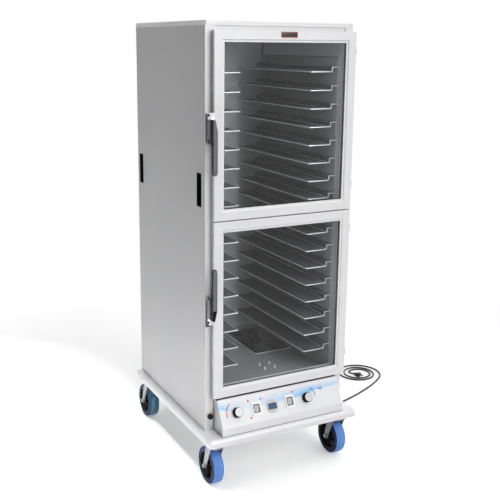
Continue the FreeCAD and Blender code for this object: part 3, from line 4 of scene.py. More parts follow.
import bpy
from mathutils import Matrix, Vector
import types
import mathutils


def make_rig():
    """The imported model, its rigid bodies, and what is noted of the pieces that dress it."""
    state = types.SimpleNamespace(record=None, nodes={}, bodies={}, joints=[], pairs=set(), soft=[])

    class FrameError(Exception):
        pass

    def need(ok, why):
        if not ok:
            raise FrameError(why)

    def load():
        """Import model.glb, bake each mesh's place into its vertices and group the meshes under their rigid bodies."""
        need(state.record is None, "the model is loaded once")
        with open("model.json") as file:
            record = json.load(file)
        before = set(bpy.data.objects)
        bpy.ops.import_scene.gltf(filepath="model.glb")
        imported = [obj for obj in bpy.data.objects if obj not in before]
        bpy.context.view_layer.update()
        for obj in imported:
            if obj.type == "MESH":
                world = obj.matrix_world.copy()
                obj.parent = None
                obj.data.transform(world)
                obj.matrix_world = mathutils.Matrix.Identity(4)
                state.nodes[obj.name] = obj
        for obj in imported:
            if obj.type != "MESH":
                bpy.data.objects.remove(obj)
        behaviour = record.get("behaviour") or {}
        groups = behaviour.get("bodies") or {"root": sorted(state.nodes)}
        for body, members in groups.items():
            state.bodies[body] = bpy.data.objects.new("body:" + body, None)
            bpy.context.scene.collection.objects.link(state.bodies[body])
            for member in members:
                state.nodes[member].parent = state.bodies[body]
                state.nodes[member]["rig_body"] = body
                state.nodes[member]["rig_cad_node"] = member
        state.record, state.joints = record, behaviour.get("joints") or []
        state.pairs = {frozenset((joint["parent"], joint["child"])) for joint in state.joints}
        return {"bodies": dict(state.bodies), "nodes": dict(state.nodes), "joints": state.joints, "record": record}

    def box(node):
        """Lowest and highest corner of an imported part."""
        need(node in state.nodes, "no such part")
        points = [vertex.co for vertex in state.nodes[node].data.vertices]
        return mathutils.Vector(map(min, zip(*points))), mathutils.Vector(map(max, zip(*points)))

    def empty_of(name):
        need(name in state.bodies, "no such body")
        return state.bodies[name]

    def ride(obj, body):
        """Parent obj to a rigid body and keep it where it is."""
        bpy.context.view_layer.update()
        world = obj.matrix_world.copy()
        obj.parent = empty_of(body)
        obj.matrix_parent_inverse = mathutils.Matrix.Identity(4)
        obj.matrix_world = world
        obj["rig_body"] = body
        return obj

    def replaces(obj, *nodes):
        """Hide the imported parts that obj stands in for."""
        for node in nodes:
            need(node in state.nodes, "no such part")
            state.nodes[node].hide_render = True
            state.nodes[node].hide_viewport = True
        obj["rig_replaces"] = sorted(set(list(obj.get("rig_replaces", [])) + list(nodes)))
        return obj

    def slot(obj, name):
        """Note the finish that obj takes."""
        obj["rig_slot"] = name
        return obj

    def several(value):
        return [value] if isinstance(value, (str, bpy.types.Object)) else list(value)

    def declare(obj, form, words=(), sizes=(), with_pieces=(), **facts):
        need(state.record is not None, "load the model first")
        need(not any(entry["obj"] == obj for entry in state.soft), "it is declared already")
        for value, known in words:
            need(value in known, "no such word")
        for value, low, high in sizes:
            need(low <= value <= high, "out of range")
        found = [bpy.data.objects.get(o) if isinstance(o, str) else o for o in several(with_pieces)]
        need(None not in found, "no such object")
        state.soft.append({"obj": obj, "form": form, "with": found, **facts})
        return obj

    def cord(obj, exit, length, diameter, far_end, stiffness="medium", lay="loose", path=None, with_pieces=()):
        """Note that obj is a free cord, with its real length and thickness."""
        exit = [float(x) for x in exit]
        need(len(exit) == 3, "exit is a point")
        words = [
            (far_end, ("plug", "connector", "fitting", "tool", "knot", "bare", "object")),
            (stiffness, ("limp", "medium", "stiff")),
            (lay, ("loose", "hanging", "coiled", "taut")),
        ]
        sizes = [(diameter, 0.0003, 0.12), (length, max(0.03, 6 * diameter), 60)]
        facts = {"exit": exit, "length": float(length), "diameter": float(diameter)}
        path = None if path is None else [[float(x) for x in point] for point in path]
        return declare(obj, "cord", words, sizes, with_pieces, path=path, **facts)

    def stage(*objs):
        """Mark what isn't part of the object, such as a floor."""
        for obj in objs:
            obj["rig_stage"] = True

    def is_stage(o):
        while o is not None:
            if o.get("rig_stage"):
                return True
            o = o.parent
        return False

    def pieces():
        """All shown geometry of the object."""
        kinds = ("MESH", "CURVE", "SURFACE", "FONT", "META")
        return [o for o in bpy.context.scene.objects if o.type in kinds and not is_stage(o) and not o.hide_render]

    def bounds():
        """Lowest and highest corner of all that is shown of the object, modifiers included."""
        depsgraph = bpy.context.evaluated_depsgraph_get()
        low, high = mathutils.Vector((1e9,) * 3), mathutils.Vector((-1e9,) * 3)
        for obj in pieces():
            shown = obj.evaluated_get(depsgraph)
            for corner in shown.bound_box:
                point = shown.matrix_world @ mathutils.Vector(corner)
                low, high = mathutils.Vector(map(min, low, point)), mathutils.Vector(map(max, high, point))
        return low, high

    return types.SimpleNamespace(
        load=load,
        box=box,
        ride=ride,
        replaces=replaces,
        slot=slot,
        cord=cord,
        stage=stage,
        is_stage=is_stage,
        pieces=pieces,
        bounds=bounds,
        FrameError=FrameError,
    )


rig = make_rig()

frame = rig.load()
CAD_BOX = [list(corner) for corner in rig.bounds()]
NODES = frame["nodes"]
JOINTS = {joint["name"]: joint for joint in frame["joints"]}

bl_info = {
    "name": "Heated holding cabinet",
    "version": (1, 0, 0),
    "blender": (4, 5, 0),
    "location": "View3D > Sidebar > Cabinet",
    "description": "Dresses a heated holding cabinet on casters around its fixed frame",
    "category": "Add Mesh",
}

MM = 0.001
# Points closer than this are one, in drawn shapes and in copies of CAD pieces
MERGE = 0.000005
CAD_MERGE = 0.00001
# Faces that meet at less than this many degrees are one flat face
FLAT_ANGLE = 0.6
CASTERS = ("front_left", "front_right", "rear_left", "rear_right")
DOORS = ("upper", "lower")
X_AXIS = Vector((1, 0, 0))
Y_AXIS = Vector((0, 1, 0))
Z_AXIS = Vector((0, 0, 1))


class CabinetSizes(bpy.types.PropertyGroup):
    """Sizes that a user would change."""

    sheet_edge: bpy.props.FloatProperty(
        name="Sheet edge", description="Rounding of cut sheet edges", default=0.6 * MM, unit="LENGTH")
    moulded_edge: bpy.props.FloatProperty(
        name="Moulded edge", description="Rounding of moulded plastic edges", default=1.2 * MM,
        unit="LENGTH")
    lever_edge: bpy.props.FloatProperty(
        name="Lever edge", description="Rounding of the lever handles", default=0.9 * MM, unit="LENGTH")
    cord_diameter: bpy.props.FloatProperty(
        name="Cord diameter", description="Diameter of the power cord", default=8.5 * MM, unit="LENGTH")
    print_height: bpy.props.FloatProperty(
        name="Print height", description="Thickness of the panel's printed marks", default=0.15 * MM,
        unit="LENGTH")
    round_steps: bpy.props.IntProperty(
        name="Round steps", description="Sides of a turned piece", default=64, min=12)
    hub_ribs: bpy.props.IntProperty(
        name="Hub ribs", description="Ribs on each face of a wheel hub", default=6, min=3)


class CabinetColours(bpy.types.PropertyGroup):
    """Colours that a user would change."""

    frame_white: bpy.props.FloatVectorProperty(
        name="Frame white", description="Doors, stiles, cap and base", subtype="COLOR",
        default=(0.80, 0.80, 0.81))
    panel_white: bpy.props.FloatVectorProperty(
        name="Panel white", description="Control faceplate under its print", subtype="COLOR",
        default=(0.78, 0.80, 0.83))
    # Painted shade: the side and back sheet is painted darker than the white frames, for the shade on sides facing
    # away from the lamps
    wall_grey: bpy.props.FloatVectorProperty(
        name="Wall grey", description="Satin side and back panels", subtype="COLOR",
        default=(0.43, 0.43, 0.435))
    liner_grey: bpy.props.FloatVectorProperty(
        name="Liner grey", description="Sheet inside the cavity", subtype="COLOR",
        default=(0.62, 0.62, 0.63))
    tyre_blue: bpy.props.FloatVectorProperty(
        name="Tyre blue", description="Front wheel tyres", subtype="COLOR", default=(0.108, 0.275, 0.72))
    # Painted shade: the rear tyres take a darker teal for the shade they stand in
    tyre_teal: bpy.props.FloatVectorProperty(
        name="Tyre teal", description="Rear wheel tyres", subtype="COLOR", default=(0.055, 0.19, 0.30))
    cord_black: bpy.props.FloatVectorProperty(
        name="Cord black", description="Power cord and plug", subtype="COLOR",
        default=(0.012, 0.012, 0.013))
    light_red: bpy.props.FloatVectorProperty(
        name="Light red", description="Indicator lenses", subtype="COLOR", default=(0.80, 0.06, 0.05))
    print_blue: bpy.props.FloatVectorProperty(
        name="Print blue", description="Band across the control panel", subtype="COLOR",
        default=(0.20, 0.57, 0.94))


def sizes():
    return bpy.context.scene.cabinet_sizes


def colours():
    return bpy.context.scene.cabinet_colours


# Selecting, placing and finishing pieces

def clear_selection():
    active = bpy.context.view_layer.objects.active
    if active is not None and active.mode != "OBJECT":
        bpy.ops.object.mode_set(mode="OBJECT")
    bpy.ops.object.select_all(action="DESELECT")


def activate(obj):
    clear_selection()
    obj.select_set(True)
    bpy.context.view_layer.objects.active = obj


def edit(obj):
    """Edit mode with every point selected."""
    activate(obj)
    bpy.ops.object.mode_set(mode="EDIT")
    bpy.ops.mesh.select_mode(type="VERT")
    bpy.ops.mesh.select_all(action="SELECT")


def done():
    bpy.ops.object.mode_set(mode="OBJECT")


def pick(obj, test):
    """Edit mode with only the points that a test picks."""
    edit(obj)
    bpy.ops.mesh.select_all(action="DESELECT")
    done()
    for vertex in obj.data.vertices:
        vertex.select = test(vertex.co)
    bpy.ops.object.mode_set(mode="EDIT")
    bpy.ops.mesh.select_mode(type="VERT")


def linked(name, data):
    """A new object in the scene."""
    obj = bpy.data.objects.new(name, data)
    bpy.context.collection.objects.link(obj)
    return obj


def settle(obj, matrix):
    """Moves a piece and puts its place into its mesh, so that its object sits at the origin."""
    activate(obj)
    obj.matrix_world = matrix @ obj.matrix_world
    bpy.context.view_layer.update()
    bpy.ops.object.transform_apply(location=True, rotation=True, scale=True)
    return obj


def frame_matrix(origin, across, up):
    """A placement whose local X and Y follow two directions."""
    across = Vector(across).normalized()
    out = across.cross(Vector(up)).normalized()
    up = out.cross(across)
    turn = Matrix((across, up, out)).transposed().to_4x4()
    return Matrix.Translation(origin) @ turn


def apply_modifier(obj, kind, **settings):
    activate(obj)
    modifier = obj.modifiers.new(kind.title(), kind)
    for key, value in settings.items():
        setattr(modifier, key, value)
    bpy.ops.object.modifier_apply(modifier=modifier.name)
    return obj


def cut(obj, cutter):
    """Takes a cutter's shape out of a piece."""
    apply_modifier(obj, "BOOLEAN", operation="DIFFERENCE", solver="EXACT", object=cutter)
    bpy.data.objects.remove(cutter)


def ease(obj, width, segments=2, angle=30):
    """Rounds the edges that are sharper than an angle."""
    return apply_modifier(obj, "BEVEL", width=width, segments=segments, limit_method="ANGLE",
                          angle_limit=math.radians(angle), use_clamp_overlap=True, miter_outer="MITER_ARC")


def smooth(obj, angle=32):
    activate(obj)
    bpy.ops.object.shade_smooth_by_angle(angle=math.radians(angle))
    return obj


def outward(obj):
    """Merges double points and turns all faces outwards."""
    edit(obj)
    bpy.ops.mesh.remove_doubles(threshold=MERGE)
    bpy.ops.mesh.normals_make_consistent(inside=False)
    done()
    return obj


def close_ring(obj):
    """Joins the last loop of a turned ring to its first."""
    edit(obj)
    bpy.ops.mesh.remove_doubles(threshold=MERGE)
    bpy.ops.mesh.select_all(action="DESELECT")
    bpy.ops.mesh.select_non_manifold(extend=False)
    try:
        bpy.ops.mesh.bridge_edge_loops()
    except RuntimeError as fault:
        raise RuntimeError(f"{obj.name}: the ring has no two open ends") from fault
    done()
    return outward(obj)


def edit_faces(obj):
    """Edit mode on faces that are already picked."""
    activate(obj)
    bpy.ops.object.mode_set(mode="EDIT")
    bpy.ops.mesh.select_mode(type="FACE")


def divide(obj, place, normal):
    """Divides a piece's faces along a plane."""
    edit(obj)
    bpy.ops.mesh.bisect(plane_co=place, plane_no=normal)
    done()


def piece(obj, name, body, slot, material, *replaced):
    """Names a finished piece, gives it its finish, and sets it on its body."""
    obj.name = name
    obj.data.name = name
    obj.data.materials.clear()
    obj.data.materials.append(material)
    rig.ride(obj, body)
    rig.slot(obj, slot)
    if replaced:
        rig.replaces(obj, *replaced)
    return obj


def second_finish(obj, material, chosen):
    """Gives the faces that a test picks a second finish."""
    obj.data.materials.append(material)
    for face in obj.data.polygons:
        if chosen(face):
            face.material_index = 1
    return obj


def finish_node(node, material):
    """A CAD piece whose shape is right keeps it and gets a finish."""
    obj = NODES[node]
    obj.data.materials.clear()
    obj.data.materials.append(material)


def block(low, high):
    """A block between two corners."""
    clear_selection()
    low = Vector(low)
    high = Vector(high)
    bpy.ops.mesh.primitive_cube_add(size=1, location=(low + high) / 2)
    obj = bpy.context.object
    obj.scale = high - low
    bpy.ops.object.transform_apply(location=True, rotation=True, scale=True)
    return obj


def block_mm(low, high):
    """A block between two corners in millimetres."""
    return block([value * MM for value in low], [value * MM for value in high])


def skin(loops, steps=None, ends=True):
    """A shape drawn out loop by loop along Z. A loop is (half width, half depth, height, shift x, shift y).
    With steps it is round, and without it is square. Its two ends are filled or left open."""
    clear_selection()
    loops = [tuple(loop) + (0.0,) * (5 - len(loop)) for loop in loops]
    if steps:
        fill = "NGON" if ends else "NOTHING"
        bpy.ops.mesh.primitive_circle_add(vertices=steps, radius=1.0, fill_type=fill)
    else:
        bpy.ops.mesh.primitive_plane_add(size=2.0)
    obj = bpy.context.object
    edit(obj)
    if not steps and not ends:
        bpy.ops.mesh.delete(type="ONLY_FACE")
        bpy.ops.mesh.select_all(action="SELECT")
    half_x, half_y, height, shift_x, shift_y = loops[0]
    bpy.ops.transform.resize(value=(half_x, half_y, 1.0), center_override=(0, 0, 0))
    bpy.ops.transform.translate(value=(shift_x, shift_y, height))
    for before, after in zip(loops, loops[1:]):
        if ends:
            bpy.ops.mesh.extrude_region()
        else:
            bpy.ops.mesh.extrude_edges_indiv()
        move = [after[i] - before[i] for i in (3, 4, 2)]
        bpy.ops.transform.translate(value=move)
        bpy.ops.transform.resize(value=(after[0] / before[0], after[1] / before[1], 1.0),
                                 center_override=(after[3], after[4], after[2]))
    done()
    return outward(obj)


def turned(profile, steps, ends=True):
    """A round shape from a profile of (radius, height) in millimetres."""
    return skin([(radius * MM, radius * MM, height * MM) for radius, height in profile], steps, ends)


def drawn(loops, ends=True):
    """A square shape from loops of (half width, half depth, height) in millimetres."""
    return skin([(wide * MM, deep * MM, height * MM) for wide, deep, height in loops], ends=ends)


def mirrored(profile):
    """A profile's mirror image, run through backwards."""
    return [(radius, -height) for radius, height in reversed(profile)]


def dressed(node, edge=0.0, segments=2, angle=30):
    """A merged copy of a CAD piece with its flat faces joined, its edges eased and its curves smooth."""
    clear_selection()
    obj = linked(node + "_dressed", NODES[node].data.copy())
    activate(obj)
    if obj.data.has_custom_normals:
        bpy.ops.mesh.customdata_custom_splitnormals_clear()
    edit(obj)
    bpy.ops.mesh.remove_doubles(threshold=CAD_MERGE)
    bpy.ops.mesh.dissolve_limited(angle_limit=math.radians(FLAT_ANGLE))
    done()
    if edge:
        ease(obj, edge, segments, angle)
    smooth(obj, angle)
    return apply_modifier(obj, "WEIGHTED_NORMAL", keep_sharp=True)


def dress(node, name, body, slot, material, edge=0.0, segments=2, angle=35):
    """A finished piece that keeps the shape of a CAD piece and takes its place."""
    return piece(dressed(node, edge, segments, angle), name, body, slot, material, node)


def joined(objs):
    """Several meshes as one."""
    activate(objs[0])
    for obj in objs[1:]:
        obj.select_set(True)
    bpy.ops.object.join()
    return bpy.context.object


def copy_of(obj, matrix):
    """A copy with its own mesh, moved by a matrix."""
    twin = linked(obj.name, obj.data.copy())
    twin.data.transform(matrix)
    return twin


def middle(node):
    """The middle of a CAD piece's box."""
    low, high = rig.box(node)
    return (low + high) / 2


# Shared effects, each a group that is placed in a material with its own values

def shader_group(name, inputs, outputs, build):
    group = bpy.data.node_groups.get(name)
    if group is not None:
        return group
    group = bpy.data.node_groups.new(name, "ShaderNodeTree")
    for label, kind, default in inputs:
        socket = group.interface.new_socket(name=label, in_out="INPUT", socket_type=kind)
        socket.default_value = default
    for label, kind in outputs:
        group.interface.new_socket(name=label, in_out="OUTPUT", socket_type=kind)
    source = group.nodes.new("NodeGroupInput")
    target = group.nodes.new("NodeGroupOutput")
    build(group, source, target)
    return group


def add_node(tree, kind, values=None, **links):
    """A node with socket values by name or index, and links given as input name to output socket."""
    made = tree.nodes.new(kind)
    for key, value in (values or {}).items():
        if isinstance(key, str) and hasattr(made, key):
            setattr(made, key, value)
        else:
            made.inputs[key].default_value = value
    for key, socket in links.items():
        tree.links.new(socket, made.inputs[key.replace("_", " ")])
    return made


def remap(tree, socket, low, high, to_low=0.0, to_high=1.0, kind="SMOOTHSTEP"):
    """A value moved from one range to another."""
    values = {"interpolation_type": kind, "From Min": low, "From Max": high,
              "To Min": to_low, "To Max": to_high}
    return add_node(tree, "ShaderNodeMapRange", values, Value=socket).outputs["Result"]


def maths(tree, kind, first, second):
    made = tree.nodes.new("ShaderNodeMath")
    made.operation = kind
    for index, value in enumerate((first, second)):
        if isinstance(value, (int, float)):
            made.inputs[index].default_value = value
        else:
            tree.links.new(value, made.inputs[index])
    return made.outputs[0]


def vector_maths(tree, kind, first, second=None):
    """A vector sum of a socket with another socket or a fixed vector."""
    made = tree.nodes.new("ShaderNodeVectorMath")
    made.operation = kind
    tree.links.new(first, made.inputs[0])
    if isinstance(second, bpy.types.NodeSocket):
        tree.links.new(second, made.inputs[1])
    elif second is not None:
        made.inputs[1].default_value = second
    return made


def fixed(node, **values):
    """Fixed values on a node's own sockets, named with underscores for spaces."""
    for key, value in values.items():
        node.inputs[key.replace("_", " ")].default_value = value


def blend_shaders(tree, share, first, second):
    """Two shaders mixed by a share, as the material's surface."""
    made = tree.nodes.new("ShaderNodeMixShader")
    for index, socket in enumerate((share, first.outputs[0], second.outputs[0])):
        tree.links.new(socket, made.inputs[index])
    tree.links.new(made.outputs[0], tree.nodes["Material Output"].inputs["Surface"])


VECTOR = "NodeSocketVector"
FLOAT = "NodeSocketFloat"
PLACE = ("Vector", VECTOR, (0, 0, 0))


def brushed_grain():
    """Fine lines along one direction, from a noise that is stretched."""
    def build(tree, source, target):
        stretch = vector_maths(tree, "MULTIPLY", source.outputs["Vector"], source.outputs["Stretch"])
        lines = add_node(tree, "ShaderNodeTexNoise", {"Detail": 3.0, "Roughness": 0.65, "Scale": 1.0},
                         Vector=stretch.outputs[0])
        tree.links.new(remap(tree, lines.outputs["Fac"], 0.3, 0.7), target.inputs["Grain"])
    return shader_group("brushed grain", [PLACE, ("Stretch", VECTOR, (900, 900, 12))],
                        [("Grain", FLOAT)], build)


def speckle():
    """Even fine noise, as of moulded plastic or powder paint."""
    def build(tree, source, target):
        noise = add_node(tree, "ShaderNodeTexNoise", {"Detail": 2.0, "Roughness": 0.5},
                         Vector=source.outputs["Vector"], Scale=source.outputs["Scale"])
        tree.links.new(noise.outputs["Fac"], target.inputs["Speckle"])
    return shader_group("speckle", [PLACE, ("Scale", FLOAT, 900.0)], [("Speckle", FLOAT)], build)


def smudge():
    """Large soft patches, as of handling and cleaning."""
    def build(tree, source, target):
        noise = add_node(tree, "ShaderNodeTexNoise", {"Detail": 5.0, "Roughness": 0.6, "Distortion": 0.6},
                         Vector=source.outputs["Vector"], Scale=source.outputs["Scale"])
        tree.links.new(remap(tree, noise.outputs["Fac"], 0.32, 0.72), target.inputs["Smudge"])
    return shader_group("smudge", [PLACE, ("Scale", FLOAT, 5.0)], [("Smudge", FLOAT)], build)


def spangle():
    """Crystal patches of zinc."""
    def build(tree, source, target):
        cells = add_node(tree, "ShaderNodeTexVoronoi", {"feature": "F1"}, Vector=source.outputs["Vector"],
                         Scale=source.outputs["Scale"])
        split = add_node(tree, "ShaderNodeSeparateColor", {}, Color=cells.outputs["Color"])
        tree.links.new(split.outputs[0], target.inputs["Spangle"])
    return shader_group("zinc spangle", [PLACE, ("Scale", FLOAT, 120.0)], [("Spangle", FLOAT)], build)


def floor_dust():
    """A little dust that gathers towards the floor."""
    def build(tree, source, target):
        split = add_node(tree, "ShaderNodeSeparateXYZ", {}, Vector=source.outputs["Vector"])
        low = add_node(tree, "ShaderNodeMapRange",
                       {"interpolation_type": "SMOOTHSTEP", "To Min": 1.0, "To Max": 0.0},
                       Value=split.outputs["Z"], From_Max=source.outputs["Height"])
        noise = add_node(tree, "ShaderNodeTexNoise", {"Scale": 38.0, "Detail": 4.0},
                         Vector=source.outputs["Vector"])
        patch = remap(tree, noise.outputs["Fac"], 0.35, 0.7)
        tree.links.new(maths(tree, "MULTIPLY", low.outputs["Result"], patch), target.inputs["Dust"])
    return shader_group("floor dust", [PLACE, ("Height", FLOAT, 0.12)], [("Dust", FLOAT)], build)


def group_node(tree, group, coords, **values):
    made = tree.nodes.new("ShaderNodeGroup")
    made.node_tree = group
    tree.links.new(coords, made.inputs["Vector"])
    for key, value in values.items():
        made.inputs[key].default_value = value
    return made.outputs[0]


def blank_material(name):
    material = bpy.data.materials.new(name)
    material.use_nodes = True
    tree = material.node_tree
    shader = tree.nodes["Principled BSDF"]
    coords = tree.nodes.new("ShaderNodeTexCoord").outputs["Object"]
    return material, tree, shader, coords


def once(name):
    """Has a material made when it is first asked for, and found again after that."""
    def ready(build):
        def ask():
            return bpy.data.materials.get(name) or build(*blank_material(name))
        return ask
    return ready


def shade(colour, factor):
    return tuple(min(1.0, channel * factor) for channel in colour) + (1.0,)


def mix_colour(tree, factor, first, second):
    made = tree.nodes.new("ShaderNodeMix")
    made.data_type = "RGBA"
    for socket, value in ((made.inputs[0], factor), (made.inputs[6], first), (made.inputs[7], second)):
        if isinstance(value, bpy.types.NodeSocket):
            tree.links.new(value, socket)
        else:
            socket.default_value = value
    return made.outputs[2]


def surface(name, colour, roughness, metallic=0.0, grain=None, grain_tone=0.0, speckle_scale=0.0,
            speckle_tone=0.0, smudge_scale=4.0, smudge_tone=0.0, rough_swing=0.08, bump=0.0,
            spangle_scale=0.0, spangle_tone=0.0, dust=0.0, specular=0.5):
    """A finish built from the shared effects: tone, gloss and relief all vary over the surface."""
    found = bpy.data.materials.get(name)
    if found is not None:
        return found
    material, tree, shader, coords = blank_material(name)
    fixed(shader, Metallic=metallic, Specular_IOR_Level=specular)
    smudges = group_node(tree, smudge(), coords, Scale=smudge_scale)
    tone = maths(tree, "MULTIPLY", smudges, smudge_tone)
    reach = smudge_tone
    relief = None
    if grain is not None:
        lines = group_node(tree, brushed_grain(), coords, Stretch=grain)
        tone = maths(tree, "ADD", tone, maths(tree, "MULTIPLY", lines, grain_tone))
        reach += grain_tone
        relief = lines
    if speckle_scale:
        dots = group_node(tree, speckle(), coords, Scale=speckle_scale)
        tone = maths(tree, "ADD", tone, maths(tree, "MULTIPLY", dots, speckle_tone))
        reach += speckle_tone
        relief = dots if relief is None else maths(tree, "ADD", relief, dots)
    if spangle_scale:
        cells = group_node(tree, spangle(), coords, Scale=spangle_scale)
        tone = maths(tree, "ADD", tone, maths(tree, "MULTIPLY", cells, spangle_tone))
        reach += spangle_tone
    share = maths(tree, "DIVIDE", tone, max(reach, 0.0001))
    paint = mix_colour(tree, share, shade(colour, 1 - reach / 2), shade(colour, 1 + reach / 2))
    if dust:
        dusty = maths(tree, "MULTIPLY", group_node(tree, floor_dust(), coords), dust)
        paint = mix_colour(tree, dusty, paint, DUST)
    tree.links.new(paint, shader.inputs["Base Color"])
    gloss = remap(tree, smudges, 0.0, 1.0, roughness - rough_swing, roughness + rough_swing, "LINEAR")
    tree.links.new(gloss, shader.inputs["Roughness"])
    if bump and relief is not None:
        made = add_node(tree, "ShaderNodeBump", {"Strength": bump, "Distance": RELIEF}, Height=relief)
        tree.links.new(made.outputs["Normal"], shader.inputs["Normal"])
    return material


DUST = (0.52, 0.50, 0.47, 1.0)
RELIEF = 0.4 * MM
GRAIN_UP = (1400.0, 1400.0, 9.0)
GRAIN_ALONG = (9.0, 1400.0, 1400.0)
GRAIN_DEEP = (1400.0, 9.0, 1400.0)


def frame_white():
    return surface("satin white sheet", colours().frame_white, 0.36, 0.12, grain=GRAIN_UP, grain_tone=0.02,
                   speckle_scale=1300.0, speckle_tone=0.015, smudge_tone=0.02, bump=0.04)


# Painted shade: the walls' darker grey stands in for the shade on the cabinet's sides
def wall_grey():
    return surface("satin wall sheet", colours().wall_grey, 0.46, 0.10, grain=GRAIN_DEEP, grain_tone=0.05,
                   speckle_scale=420.0, speckle_tone=0.04, smudge_scale=2.2, smudge_tone=0.04, bump=0.10)


def liner_grey():
    return surface("cavity sheet", colours().liner_grey, 0.48, 0.4, grain=GRAIN_UP, grain_tone=0.08,
                   speckle_scale=260.0, speckle_tone=0.06, smudge_scale=3.0, smudge_tone=0.08, bump=0.03)


# Painted light: the cavity's jambs are painted paler than the liner, for the light that falls in at the door
def jamb_painted_light():
    return surface("jamb painted light", (0.56, 0.56, 0.57), 0.44, 0.1, grain=GRAIN_UP, grain_tone=0.05,
                   speckle_scale=420.0, speckle_tone=0.04, smudge_scale=3.0, smudge_tone=0.05, bump=0.04)


# Painted shade: the control cowl's side faces are painted darker than its white front
def cowl_side_shade():
    return surface("cowl side painted shade", (0.54, 0.54, 0.545), 0.44, 0.1, grain=GRAIN_UP, grain_tone=0.04,
                   speckle_scale=600.0, speckle_tone=0.03, smudge_scale=6.0, smudge_tone=0.04, bump=0.06)


def grip_black():
    return surface("grip moulding", (0.003, 0.003, 0.003), 0.7, speckle_scale=1500.0, speckle_tone=0.2,
                   smudge_scale=25.0, smudge_tone=0.2, bump=0.06, specular=0.02)


# Painted shade: darker than the liner, for the cavity floor and the sheets behind the slides, which lie in shade
def floor_grey():
    return surface("cavity floor sheet", (0.36, 0.36, 0.365), 0.6, 0.15, grain=GRAIN_DEEP, grain_tone=0.08,
                   speckle_scale=260.0, speckle_tone=0.10, smudge_scale=3.0, smudge_tone=0.14, bump=0.03)


# Painted shade: the door frames' outer sides are painted a darker grey than their white front
def door_side_shade():
    return surface("door edge sheet", (0.52, 0.52, 0.525), 0.46, 0.1, grain=GRAIN_UP, grain_tone=0.05,
                   speckle_scale=420.0, speckle_tone=0.04, smudge_scale=4.0, smudge_tone=0.05, bump=0.04)


# Painted shade: the slides are painted far darker than the cavity's liner, for the shade inside the cavity
def slide_metal():
    return surface("slide sheet", (0.115, 0.115, 0.12), 0.5, 0.1, grain=GRAIN_DEEP, grain_tone=0.08,
                   smudge_scale=6.0, smudge_tone=0.06, bump=0.02)


# Painted highlight: a pale finish for the slides' edges, where light catches them
def edge_highlight_paint():
    return surface("painted edge highlight", (0.76, 0.76, 0.77), 0.36, 0.3, speckle_scale=800.0, speckle_tone=0.05,
                   smudge_scale=9.0, smudge_tone=0.05, bump=0.02)


# Painted reflection: grey painted on the lever's front faces, for the sheen of light on its glossy black coating
def lever_painted_sheen():
    return surface("lever face", (0.135, 0.135, 0.14), 0.44, 0.1, speckle_scale=1800.0, speckle_tone=0.1,
                   smudge_scale=25.0, smudge_tone=0.1, bump=0.08)


def strike_grey():
    return surface("strike steel", (0.155, 0.155, 0.16), 0.5, grain=GRAIN_UP, grain_tone=0.08,
                   smudge_scale=20.0, smudge_tone=0.1, bump=0.03, specular=0.12)


def zinc():
    return surface("zinc plate", (0.31, 0.32, 0.335), 0.40, 0.85, speckle_scale=600.0, speckle_tone=0.05,
                   smudge_tone=0.06, spangle_scale=150.0, spangle_tone=0.16, bump=0.06, dust=0.25)


def bright_steel():
    return surface("bright steel", (0.70, 0.70, 0.71), 0.22, 0.95, grain=GRAIN_UP, grain_tone=0.06,
                   smudge_tone=0.05, bump=0.04)


def pan_steel():
    return surface("pan steel", (0.30, 0.30, 0.31), 0.16, 0.95, grain=GRAIN_DEEP, grain_tone=0.10,
                   smudge_scale=9.0, smudge_tone=0.12, rough_swing=0.1, bump=0.08)


def element_steel():
    return surface("heated steel", (0.20, 0.17, 0.15), 0.45, 0.8, speckle_scale=300.0, speckle_tone=0.25,
                   smudge_scale=20.0, smudge_tone=0.3, bump=0.1)


def tyre_rubber(colour):
    return surface(colour.replace("_", " "), getattr(colours(), colour), 0.52, speckle_scale=700.0,
                   speckle_tone=0.10, smudge_scale=16.0, smudge_tone=0.12, bump=0.14, dust=0.22)


def side_wall():
    return surface("tyre side wall", (0.014, 0.030, 0.095), 0.6, speckle_scale=700.0, speckle_tone=0.12,
                   smudge_scale=16.0, smudge_tone=0.15, bump=0.12, specular=0.15)


def hub_black():
    return surface("hub plastic", (0.010, 0.010, 0.011), 0.5, speckle_scale=900.0, speckle_tone=0.15,
                   smudge_scale=20.0, smudge_tone=0.2, bump=0.10, specular=0.15)


def black_plastic():
    return surface("black moulded plastic", (0.010, 0.010, 0.011), 0.44, speckle_scale=1500.0,
                   speckle_tone=0.2, smudge_scale=30.0, smudge_tone=0.2, bump=0.10, specular=0.2)


def lever_black():
    return surface("lever coating", (0.008, 0.008, 0.009), 0.62, speckle_scale=1800.0, speckle_tone=0.2,
                   smudge_scale=25.0, smudge_tone=0.25, bump=0.08, specular=0.06)


# Near black, partly the rubber's own colour and partly painted shade for the gaps it sits in
def rubber_grey():
    return surface("gasket rubber", (0.03, 0.03, 0.032), 0.6, speckle_scale=900.0, speckle_tone=0.12,
                   smudge_scale=12.0, smudge_tone=0.1, bump=0.12)


def cord_rubber():
    return surface("cord rubber", colours().cord_black, 0.46, speckle_scale=1100.0, speckle_tone=0.25,
                   smudge_scale=18.0, smudge_tone=0.3, bump=0.10)


def brass():
    return surface("brass", (0.66, 0.46, 0.17), 0.24, 0.95, grain=GRAIN_UP, grain_tone=0.10,
                   smudge_scale=60.0, smudge_tone=0.15, bump=0.05)


def chrome():
    return surface("polished latch metal", (0.66, 0.66, 0.67), 0.16, 0.95, grain=GRAIN_UP, grain_tone=0.03,
                   smudge_scale=20.0, smudge_tone=0.06, bump=0.02)


def knob_cap_metal():
    return surface("knob cap", (0.60, 0.585, 0.61), 0.38, 0.2, speckle_scale=1500.0, speckle_tone=0.05,
                   smudge_scale=40.0, smudge_tone=0.05, bump=0.05)


